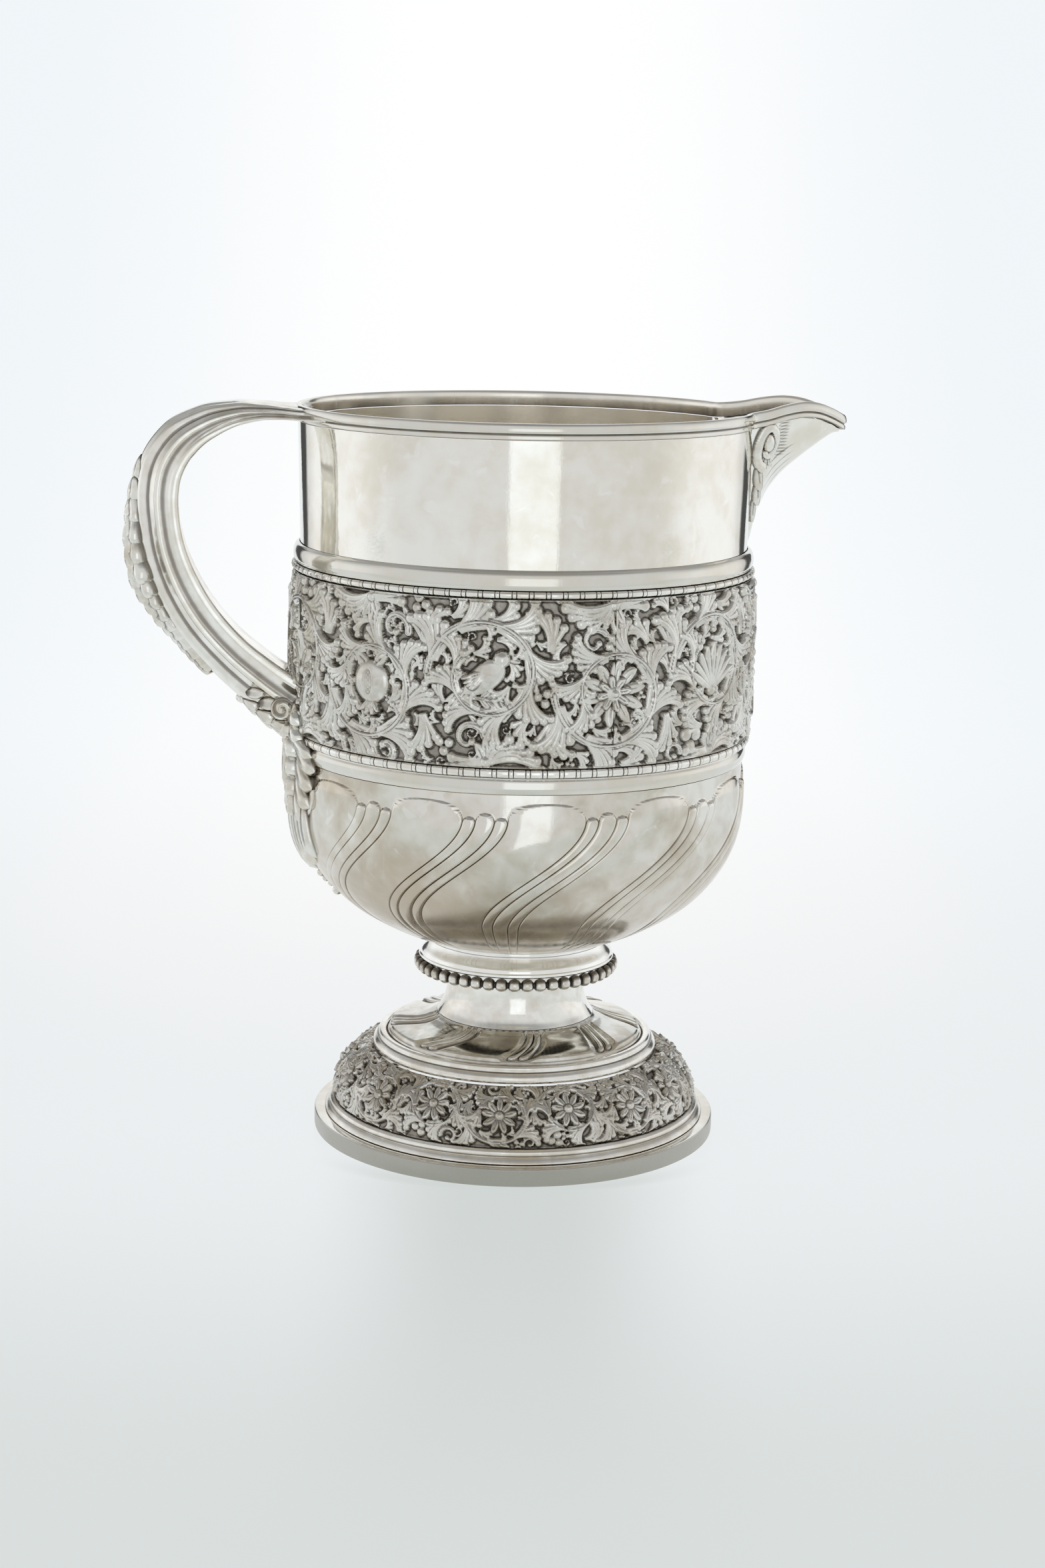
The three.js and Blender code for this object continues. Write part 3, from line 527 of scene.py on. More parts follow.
@dataclass(frozen=True)
class Silver:
    """Silver with patches of tarnish, dark recesses and fine wear.

    Tarnish lies in soft clouds, the colour darkens towards the bottom between two levels of
    the grade, the recess attribute, which carries tarnish and painted shade, goes grey at a
    half and near black at 1, and the inside attribute brings in the brown bloom of the
    vessel's inner wall.
    """

    name: str
    slot: Slot
    clean: Colour = tone(0.93, 0.92, 0.875)
    warm: Colour = tone(0.74, 0.69, 0.59)
    deep: Colour = tone(0.52, 0.46, 0.37)
    bloom: Colour = tone(0.90, 0.855, 0.775)
    # Colours that the recess attribute reaches: tarnish in hollows, and painted shade.
    film_and_shade: Colour = tone(0.26, 0.235, 0.205)
    oxide_and_shade: Colour = tone(0.055, 0.048, 0.040)
    tarnish: float = 0.55
    cloud: float = 26.0
    grade: tuple[float, float] = (-1.0, -2.0)
    oxide_and_shade_share: float = 0.95
    polish: float = 0.09
    matt: float = 0.16
    stipple: float = 0.0
    ripple: float = 0.04
    speck_scale: float = 900.0
    wear_scale: float = 620.0
    rub_scale: float = 95.0
    streak_scale: float = 60.0
    ripple_scale: float = 34.0

    def make(self) -> bpy.types.Material:
        """Builds the material.

        Returns:
            The new material.
        """
        material = bpy.data.materials.new(self.name)
        material.use_nodes = True
        b = Bench(material.node_tree)
        place = b.place()
        recess, inside = b.attribute("recess"), b.attribute("inside")
        clouds = b.noise(place, self.cloud, 4.0, 0.6)
        mottle = b.noise(place, self.cloud * 6.5, 5.0, 0.3)
        specks = b.noise(place, self.speck_scale, 2.0)
        wear = b.noise(b.stretch(place, 0.16, 0.5), self.wear_scale)
        patch = (clouds * 0.72 + mottle * 0.34).ease(0.40, 0.70)
        rub = b.noise(place, self.rub_scale, 6.0, 1.2).ease(0.60, 0.70)
        share = patch * self.tarnish - rub * (0.4 * self.tarnish)
        colour = b.mix(share.most(0.0), self.clean, self.warm)
        low = 1.0 - b.level(place).ease(self.grade[1], self.grade[0])
        colour = b.mix(low * (0.5 + 0.5 * patch), colour, self.deep)
        streak = b.noise(b.stretch(place, 0.12), self.streak_scale, 4.0, 0.4).ease(0.36, 0.62)
        colour = b.mix(inside * (0.3 + streak * 0.7), colour, self.bloom)
        # Painted shade rides on the recess attribute with the tarnish: it darkens joins, undersides and
        # shadowed sides.
        tarnish_and_shade = recess * (0.84 + 0.32 * mottle)
        colour = b.mix(tarnish_and_shade.ease(0.06, 0.5) * self.oxide_and_shade_share, colour, self.film_and_shade)
        colour = b.mix(tarnish_and_shade.ease(0.5, 1.0) * self.oxide_and_shade_share, colour, self.oxide_and_shade)
        rough = self.polish + patch * (self.matt * 0.5) + wear.ease(0.5, 0.78) * (self.matt * 0.4)
        rough = rough + tarnish_and_shade * 0.3 + inside * 0.1 + low * 0.09
        grain = specks * (0.2 + self.stipple * 7.0 * recess.ease(0.3, 0.5)) + wear * 0.25
        coarse = b.bump(self.ripple, 0.004, b.noise(place, self.ripple_scale, 2.0, 0.2))
        normal = b.bump(0.1, 0.0004, grain, Normal=coarse)
        look = {"Base Color": colour, "Metallic": 1.0, "Roughness": rough, "Normal": normal}
        shader = b.node("ShaderNodeBsdfPrincipled", inputs=look)
        b.node("ShaderNodeOutputMaterial", inputs={"Surface": shader})
        return material


class Finish(Enum):
    """Finishes of the jug's silver."""

    WALL = Silver(
        "wall_silver", Slot.BRIGHT, warm=tone(0.77, 0.72, 0.61),
        tarnish=0.8, cloud=20.0, polish=0.04, matt=0.08,
    )
    BOWL = Silver(
        "bowl_silver", Slot.BRIGHT, clean=tone(0.835, 0.815, 0.76), warm=tone(0.56, 0.49, 0.385),
        film_and_shade=tone(0.34, 0.30, 0.25), tarnish=0.95, cloud=19.0, grade=(0.134, 0.086), polish=0.07,
    )
    STEM = Silver(
        "stem_silver", Slot.BRIGHT, warm=tone(0.66, 0.60, 0.51), tarnish=0.7, cloud=40.0, polish=0.05,
    )
    # Darker and browner than the wall: tarnish, and painted reflection of the dark bowl underside above the
    # dome.
    DOME = Silver(
        "dome_silver", Slot.BRIGHT, clean=tone(0.80, 0.785, 0.73), warm=tone(0.48, 0.42, 0.335),
        tarnish=0.85, cloud=36.0, polish=0.11, matt=0.12,
    )
    # Painted highlight: brighter and cleaner than the plain silver, against the dark beads and floor that
    # the collar mirrors.
    COLLAR = Silver(
        "collar_silver", Slot.BRIGHT, clean=tone(0.97, 0.965, 0.935),
        tarnish=0.35, cloud=40.0, polish=0.06,
    )
    MOULDING = Silver(
        "moulding_silver", Slot.BRIGHT, clean=tone(0.77, 0.755, 0.705),
        tarnish=0.75, cloud=34.0, polish=0.05,
    )
    PLINTH = Silver(
        "plinth_silver", Slot.SOFT, clean=tone(0.92, 0.90, 0.855), warm=tone(0.72, 0.655, 0.56),
        tarnish=0.8, cloud=44.0, polish=0.12,
    )
    WORN = Silver(
        "worn_silver", Slot.SOFT, clean=tone(0.94, 0.93, 0.89),
        tarnish=0.65, cloud=40.0, polish=0.1, matt=0.2,
    )
    BEAD = Silver(
        "bead_silver", Slot.SOFT, clean=tone(0.82, 0.80, 0.75), warm=tone(0.52, 0.46, 0.37),
        film_and_shade=tone(0.16, 0.135, 0.11), tarnish=0.9, cloud=60.0, polish=0.09,
    )
    RING = Silver(
        "foot_ring_silver", Slot.SOFT, clean=tone(0.88, 0.865, 0.82), warm=tone(0.68, 0.625, 0.53),
        film_and_shade=tone(0.44, 0.43, 0.385), tarnish=0.75, cloud=16.0, polish=0.1, matt=0.12,
    )
    RELIEF = Silver(
        "chased_relief_silver", Slot.CHASED, clean=tone(0.79, 0.78, 0.735), warm=tone(0.54, 0.50, 0.43),
        film_and_shade=tone(0.30, 0.275, 0.245), oxide_and_shade=tone(0.10, 0.09, 0.078),
        tarnish=0.8, cloud=60.0, polish=0.13, matt=0.18, stipple=1.0,
    )
    FOOT_RELIEF = Silver(
        "foot_relief_silver", Slot.CHASED, clean=tone(0.70, 0.68, 0.63), warm=tone(0.44, 0.39, 0.32),
        film_and_shade=tone(0.26, 0.23, 0.195),
        tarnish=0.85, cloud=50.0, polish=0.12, matt=0.18, stipple=1.0,
    )
    CAST = Silver(
        "cast_leaf_silver", Slot.SOFT, clean=tone(0.86, 0.85, 0.80), warm=tone(0.66, 0.60, 0.50),
        tarnish=0.85, cloud=60.0, polish=0.12, matt=0.18,
    )


class Workshop:
    """Puts skins into the frame as pieces that stand for the solids."""

    def __init__(self) -> None:
        """Finds the jug's axis from its foot and makes the finishes."""
        low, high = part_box("foot_ring")
        self.axis = np.array([(low[0] + high[0]) / 2, (low[1] + high[1]) / 2, 0.0])
        self.materials = {finish: finish.value.make() for finish in Finish}

    def place(
        self, name: str, skin: Skin, finish: Finish, node: str, crease: Crease = Crease.EDGE,
    ) -> None:
        """Makes one piece, its faces turned outwards by the sign of its volume.

        Args:
            name: the piece's name.
            skin: its surface.
            finish: its finish.
            node: the solid that it stands for.
            crease: how sharp an edge has to be to show.
        """
        p, quads, tris = skin.points, skin.quads, skin.tris
        a, b, c, d = (p[quads[:, k]] for k in range(4))
        e, f, g = (p[tris[:, k]] for k in range(3))
        volume = np.einsum("ij,ij->", a, np.cross(b, c) + np.cross(c, d))
        volume += np.einsum("ij,ij->", e, np.cross(f, g))
        if volume <= 0:
            quads, tris = quads[:, ::-1], tris[:, ::-1]
        mesh = bpy.data.meshes.new(name)
        corners = np.concatenate([quads.ravel(), tris.ravel()]).astype(np.int32)
        starts = np.concatenate([np.arange(len(quads)) * 4, quads.size + np.arange(len(tris)) * 3])
        mesh.vertices.add(len(p))
        mesh.vertices.foreach_set("co", (p * MM + self.axis).astype(np.float32).ravel())
        mesh.loops.add(len(corners))
        mesh.loops.foreach_set("vertex_index", corners)
        mesh.polygons.add(len(starts))
        mesh.polygons.foreach_set("loop_start", starts.astype(np.int32))
        for channel in ("recess", "inside"):
            layer = mesh.attributes.new(channel, "FLOAT", "POINT")
            layer.data.foreach_set("value", skin.channel(channel).astype(np.float32))
        mesh.update(calc_edges=True)
        mesh.validate()
        mesh.shade_smooth()
        mesh.set_sharp_from_angle(angle=math.radians(crease.value))
        mesh.materials.append(self.materials[finish])
        piece = bpy.data.objects.new(name, mesh)
        bpy.context.scene.collection.objects.link(piece)
        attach(piece, "root")
        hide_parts(node)
        LOG.info("%s: %d faces", name, len(starts))

    def place_panels(
        self, name: str, sections: Array, shade: Array, count: int, finish: Finish, node: str,
    ) -> None:
        """Makes a band as equal panels side by side.

        Args:
            name: start of the pieces' names.
            sections: grid of points, one closed section to a row, the first row also last.
            shade: depth of tarnish and painted shade at each grid point.
            count: number of panels.
            finish: their finish.
            node: the solid that they stand for.
        """
        share = (len(sections) - 1) // count
        for k in range(count):
            part = slice(k * share, (k + 1) * share + 1)
            skin = loft(sections[part], recess=shade[part])
            self.place(f"{name}_{k + 1}", skin, finish, node, Crease.PANEL)


# Relief

class Relief:
    """Height map in millimetres on a strip that closes on itself along its length.

    Motifs take their place as x along the strip and y across it, and headings in degrees.
    """

    def __init__(self, length: float, height: float, columns: int, rows: int) -> None:
        """Starts as bare ground.

        Args:
            length: length of the strip.
            height: width of the strip.
            columns: cells along it.
            rows: cells across it.
        """
        self.length, self.height = length, height
        self.cell = (length / columns, height / (rows - 1))
        self.map = np.zeros((columns, rows))

    def window(self, x: float, y: float, reach: float) -> tuple:
        """Cells within reach of a point.

        Args:
            x, y: the point.
            reach: half the window's side.

        Returns:
            The cells' index, and their offsets from the point along and across.
        """
        wide, tall = self.cell
        columns, rows = self.map.shape
        i = np.arange(math.floor((x - reach) / wide), math.ceil((x + reach) / wide) + 1)
        low, high = math.floor((y - reach) / tall), math.ceil((y + reach) / tall)
        j = np.arange(max(0, low), min(rows - 1, high) + 1)
        return np.ix_(i % columns, j), (i * wide - x)[:, None], (j * tall - y)[None, :]

    def lay(self, spot: tuple, height: Array) -> None:
        """Raises the map to a height where that is higher."""
        self.map[spot] = np.maximum(self.map[spot], height)

    def lobe(
        self, x: float, y: float, heading: float, length: float, half: float, lift: float,
        base: float = 0.2, vein: float = 0.3, bend: float = 0.0,
    ) -> None:
        """Leaf lobe: a drop from root to tip, domed across, rising to its tip, with a vein.

        Args:
            x, y: its root.
            heading: way to the tip.
            length: length of the lobe.
            half: half its width.
            lift: height of its crown.
            base: height of its edge.
            vein: depth of the vein as a share of lift.
            bend: sideways bend of the tip.
        """
        spot, dx, dy = self.window(x, y, length + half + abs(bend))
        c, s = aim(heading)
        u = (dx * c + dy * s) / length
        v = dy * c - dx * s - bend * u ** 2
        inner = np.clip(u, 0.0, 1.0)
        wide = np.maximum(half * 1.95 * inner ** 0.6 * (1 - inner) ** 0.42, 1e-3)
        q = np.abs(v) / wide
        groove = vein * bell(v, 0.0, 0.2 * half) * (1 - smooth(u, 0.6, 0.85))
        rise = half_round(q) * (0.5 + 0.5 * inner ** 0.8) - groove * (0.6 + 0.4 * inner)
        self.lay(spot, np.where((u > 0) & (u < 1) & (q < 1), base + lift * rise, 0.0))

    def ball(self, x: float, y: float, r: float, lift: float, tall: float = 1.0) -> None:
        """Round boss of radius r, stretched across the strip by tall."""
        spot, dx, dy = self.window(x, y, r * max(1.0, tall))
        d = (dx / r) ** 2 + (dy / (r * tall)) ** 2
        self.lay(spot, np.where(d < 1, 0.2 + lift * np.sqrt(np.clip(1 - d, 0, 1)), 0.0))

    def stroke(self, path: Array, half: Array, lift: float, base: float = 0.2, rib: float = 0.3) -> None:
        """Stem along a path: half round, with a groove down each side of its crown.

        Args:
            path: points along the stem.
            half: its half width at each point.
            lift: its height.
            base: height of its edge.
            rib: depth of the grooves as a share of lift.
        """
        low, high = path.min(0), path.max(0)
        middle = (low + high) / 2
        reach = float((high - low).max()) / 2 + float(np.max(half)) + 0.5
        spot, dx, dy = self.window(middle[0], middle[1], reach)
        px, py = np.broadcast_arrays(dx + middle[0], dy + middle[1])
        run = np.diff(path, axis=0)
        from_x, from_y = px[..., None] - path[:-1, 0], py[..., None] - path[:-1, 1]
        t = (from_x * run[:, 0] + from_y * run[:, 1]) / (run ** 2).sum(1)
        t = np.clip(t, 0.0, 1.0)
        away = np.hypot(from_x - t * run[:, 0], from_y - t * run[:, 1])
        q = (away / (half[:-1] + t * np.diff(half))).min(-1)
        height = base + lift * (half_round(q) - rib * bell(q, 0.42, 0.13))
        self.lay(spot, np.where(q < 1, height, 0.0))

    def curl(self, x: float, y: float, r: float, heading: float, hand: int, lift: float) -> None:
        """Tendril that winds in to a knob, with two lobes at its root.

        Args:
            x, y: its middle.
            r: its radius.
            heading: way that it faces.
            hand: 1 to wind to the left, -1 to the right.
            lift: its height.
        """
        t = np.linspace(0.0, 1.0, 26)
        turn = math.radians(heading + 180.0) + hand * 1.35 * TAU * t / 1.6
        reach = r * (0.92 - 0.62 * t)
        path = np.stack([x + reach * np.cos(turn), y + reach * np.sin(turn)], 1)
        for splay in (-70, -28):
            way, bend = heading + hand * splay, hand * 0.2 * r
            self.lobe(*path[3], way, 0.95 * r, 0.2 * r, lift * 0.8, 0.15, bend=bend)
        self.stroke(path, np.linspace(0.26, 0.15, len(t)) * r, lift, rib=0.25)
        self.ball(*path[-1], 0.27 * r, lift * 1.25)

    def frond(
        self, x: float, y: float, heading: float, length: float, half: float, curl: float,
        lift: float, strands: int = 5,
    ) -> None:
        """Fluted leaf: strands side by side that bend one way and part outside at round tips.

        Args:
            x, y: its root.
            heading: way it sets out.
            length: length of its longest strand.
            half: how far the shortest strand stands off from the longest.
            curl: degrees that it bends, to the left where positive.
            lift: height of its crown.
            strands: number of strands.
        """
        hand = 1.0 if curl > 0 else -1.0
        for k in range(strands):
            f = k / (strands - 1)
            s = np.linspace(0.0, 0.4 + 0.6 * f, 13)
            turn = np.radians(heading + curl * s ** 1.4)
            c, d = np.cos(turn), np.sin(turn)
            step = length * np.diff(s, prepend=0.0)
            spine = np.stack([x + np.cumsum(step * c), y + np.cumsum(step * d)], 1)
            off = -hand * half * (1 - f) * (0.3 + 0.75 * (s / s[-1]) ** 2)
            strand = spine + off[:, None] * np.stack([-d, c], 1)
            wide = 1.15 * half / strands * (0.62 + 0.5 * s / s[-1])
            crown = lift * (0.72 + 0.28 * f)
            self.stroke(strand, wide, crown, rib=0.0)
            self.ball(*strand[-1], 1.3 * wide[-1], 1.12 * crown)

    def fill(self, seed: int, sizes: tuple[float, ...], tries: int, lift: float, flow: Callable) -> None:
        """Sets leaves, tendrils and berries on bare ground, the largest that fit first.

        Args:
            seed: seed of the draws.
            sizes: radii to try, in order.
            tries: draws for each radius.
            lift: height of a filling.
            flow: heading of the vine at a point.
        """
        leaves, leaves_and_tendrils = 0.62, 0.85
        rng = np.random.default_rng(seed)
        for r in sizes:
            for across, up, kind, jitter in rng.random((tries, 4)):
                x, y = across * self.length, 0.6 * r + up * (self.height - 1.2 * r)
                spot, dx, dy = self.window(x, y, r)
                if self.map[spot][dx ** 2 + dy ** 2 < (0.52 * r) ** 2].max() > BARE:
                    continue
                heading, hand = flow(x, y) + 70.0 * (jitter - 0.5), 1 if jitter > 0.5 else -1
                if kind < leaves:
                    c, s = aim(heading)
                    root = (x - 0.95 * r * c, y - 0.95 * r * s)
                    self.frond(*root, heading - hand * 20, 2.2 * r, 0.95 * r, hand * 85, lift, 4)
                elif kind < leaves_and_tendrils:
                    self.curl(x, y, 1.12 * r, heading, hand, lift)
                else:
                    for k in range(3):
                        c, s = aim(heading + 120 * k)
                        self.ball(x + 0.55 * r * c, y + 0.55 * r * s, 0.5 * r, lift)

    def stipple(self, seed: int, depth: float) -> None:
        """Pits the bare ground with a punch, its pits and rims up to depth from the ground."""
        pits = blur(np.random.default_rng(seed).random(self.map.shape), 1) - 0.5
        self.map = np.where(self.map > BARE, self.map, 4.0 * depth * pits)

    def recess(self, ground: float, reach: int = 3) -> Array:
        """Tarnish and painted shade: grey on the ground, up to 1 in creases and beside high parts.

        Args:
            ground: height at which the ground's tarnish has ended.
            reach: width of the shading beside high parts, in cells.

        Returns:
            The tarnish at each cell.
        """
        fine = np.clip((blur(self.map, 1) - self.map) / (0.16 * ground), 0.0, 1.0)
        # Painted shade: the ground and low parts beside high ones are darkened.
        shade_beside_high = np.clip((blur(self.map, reach) - self.map) / (0.9 * ground), 0.0, 1.0)
        base = 0.37 * (1.0 - smooth(self.map, 0.15 * ground, ground))
        return np.clip(base + 0.6 * fine + 0.38 * shade_beside_high, 0.0, 1.0)

    def acanthus(self, path: Array, half: float, lift: float, count: int = 7) -> None:
        """Leaf with lobes down both sides of a bent midrib.

        Args:
            path: points along the midrib, root first.
            half: reach of its widest lobes.
            lift: height of the lobes.
            count: lobes on each side.
        """
        n = len(path)
        heading = headings(path)
        for k in range(count):
            f = 0.1 + 0.8 * k / (count - 1)
            i = min(n - 1, int(f * (n - 1)))
            size = half * (0.55 + 0.6 * math.sin(math.pi * min(1.0, 0.25 + 0.8 * f))) * (1.0 - 0.35 * f)
            for side in (-1, 1):
                way, bend = heading[i] + side * (62 - 34 * f), side * -0.12 * size
                self.lobe(*path[i], way, size, size * 0.27, lift * (0.8 + 0.3 * f), 0.25, bend=bend)
        self.lobe(*path[-3], heading[-2], half * 0.62, half * 0.2, lift * 1.15, 0.3)
        self.stroke(path, np.linspace(0.95, 0.35, n) * half * 0.13 + 0.2, lift * 0.9, 0.35, 0.4)

    def rosette(self, x: float, y: float, r: float, petals: int, lift: float) -> None:
        """Flower: a ring of petals round a domed heart.

        Args:
            x, y: its middle.
            r: its radius.
            petals: number of petals.
            lift: height of the petals.
        """
        for k in range(petals):
            turn = 360.0 * k / petals + 11.0
            c, s = aim(turn)
            root = (x + 0.2 * r * c, y + 0.2 * r * s)
            self.lobe(*root, turn, 0.82 * r, 2.05 * r / petals, lift, 0.3, 0.25)
        self.ball(x, y, 0.3 * r, lift * 1.25)

    def cluster(self, x: float, y: float, r: float, rows: int, lift: float) -> None:
        """Grapes: rows of berries that narrow downwards to a tip.

        Args:
            x, y: middle of the top row.
            r: radius of a berry.
            rows: number of rows, and of berries in the top one.
            lift: height of a berry.
        """
        c, s = aim(-90.0)
        for row in range(rows):
            count = rows - row
            for k in range(count):
                across, down = (k - (count - 1) / 2) * 1.85 * r, row * 1.55 * r
                crown = lift * (1 - 0.12 * abs(across) / r)
                self.ball(x + down * c - across * s, y + down * s + across * c, r, crown)

    def pomegranate(self, x: float, y: float, r: float, lift: float, turn: float) -> None:
        """Split fruit with a crown, seeds and two leaves at its stalk.

        Args:
            x, y: its middle.
            r: its radius.
            lift: its height.
            turn: way to its crown.
        """
        c, s = aim(turn)
        for splay in (-42, -14, 14, 42):
            root = (x + 0.75 * r * c, y + 0.75 * r * s)
            self.lobe(*root, turn + splay, 0.75 * r, 0.16 * r, lift * 0.8, 0.3, 0.2)
        for splay in (128, -128):
            root = (x - 0.6 * r * c, y - 0.6 * r * s)
            self.lobe(*root, turn + splay, 1.15 * r, 0.28 * r, lift * 0.7, 0.2, 0.35)
        self.ball(x, y, r, lift)
        spot, dx, dy = self.window(x, y, 0.62 * r)
        u, v = (dx * c + dy * s) / (0.6 * r), (dy * c - dx * s) / (0.24 * r)
        self.map[spot] -= 0.7 * np.sqrt(np.clip(1 - u ** 2 - v ** 2, 0, 1))
        for k in range(5):
            d = (k - 2) * 0.22 * r
            self.ball(x + d * c, y + d * s, 0.13 * r, lift * 0.92)

    def shell(self, x: float, y: float, r: float, lift: float, turn: float) -> None:
        """Scallop: ribs that fan from a hinge.

        Args:
            x, y: its middle.
            r: its radius.
            lift: its height.
            turn: way from the hinge to the middle of its edge.
        """
        c, s = aim(turn)
        spread = 58
        hinge = (x - 0.8 * r * c, y - 0.8 * r * s)
        for splay in np.linspace(-spread, spread, 9):
            length = r * (1.9 - 0.35 * abs(splay) / spread)
            self.lobe(*hinge, turn + splay, length, 0.2 * r, lift, 0.3, 0.0)
        self.ball(*hinge, 0.26 * r, lift * 0.9)

    def bird(self, x: float, y: float, size: float, lift: float, hand: int) -> None:
        """Perched bird: tail, breast, head, bill and folded wing.

        Args:
            x, y: its middle.
            size: half its length.
            lift: its height.
            hand: 1 to look to the right, -1 to the left.
        """
        def part(
            across: float, up: float, heading: float, length: float, half: float, rise: float,
            base: float = 0.3, vein: float = 0.0,
        ) -> None:
            """Lobe of the bird, mirrored where it looks to the left."""
            way = heading if hand > 0 else 180.0 - heading
            root = (x + hand * across * size, y + up * size)
            self.lobe(*root, way, length * size, half * size, lift * rise, base, vein)

        for k in range(3):
            part(-0.5, -0.3, 214 + 8 * k, 1.5, 0.19, 0.6 + 0.08 * k, 0.2, 0.3)
        part(-0.95, -0.75, 38, 2.1, 0.62, 1.0)
        self.ball(x + hand * 0.62 * size, y + 0.72 * size, 0.4 * size, lift * 1.1)
        part(0.85, 0.72, -8, 0.55, 0.13, 0.8)
        for k in range(5):
            root = (0.42 - 0.1 * k, 0.3 - 0.02 * k)
            part(*root, 196 + 9 * k, 1.5 - 0.13 * k, 0.17, 1.02 + 0.03 * k, 0.45, 0.25)

    def lily(self, x: float, y: float, r: float, lift: float, turn: float) -> None:
        """Open flower seen from the side, with curled outer petals.

        Args:
            x, y: its middle.
            r: its radius.
            lift: its height.
            turn: way that it opens.
        """
        c, s = aim(turn)
        root = (x - 0.8 * r * c, y - 0.8 * r * s)
        for splay, bend in ((-62, -0.5), (62, 0.5), (-34, -0.3), (34, 0.3), (0, 0.0)):
            length, crown = r * (1.75 - 0.004 * abs(splay) * r / 4), lift * (1.05 - 0.004 * abs(splay))
            self.lobe(*root, turn + splay, length, 0.34 * r, crown, 0.3, bend=bend * r)
        self.ball(*root, 0.3 * r, lift * 0.8)


@dataclass(frozen=True)
class Coil:
    """Spiral stem that winds in: r = outer + (inner - outer) t^ease, drawn out along the strip."""

    outer: float
    inner: float
    turns: float
    ease: float
    count: int
    stretch: float = 1.0

    def path(self, x: float, y: float, hand: int) -> Array:
        """Points of one spiral, from its left.

        Args:
            x, y: its middle.
            hand: 1 to set out upwards, -1 downwards.

        Returns:
            The points.
        """
        t = np.linspace(0.0, 1.0, self.count)
        r = self.outer + (self.inner - self.outer) * t ** self.ease
        turn = math.pi - TAU * self.turns * t
        return np.stack([x + self.stretch * r * np.cos(turn), y + hand * r * np.sin(turn)], 1)


def hand_of(k: int) -> int:
    """Way that scroll k winds: 1 and -1 by turns."""
    return 1 - 2 * (k % 2)


class Fruit(Enum):
    """What stands in the heart of a scroll."""

    ROSETTE = 0
    BIRD = 1
    POMEGRANATE = 2
    SHELL = 3
    GRAPES = 4
    LILY = 5


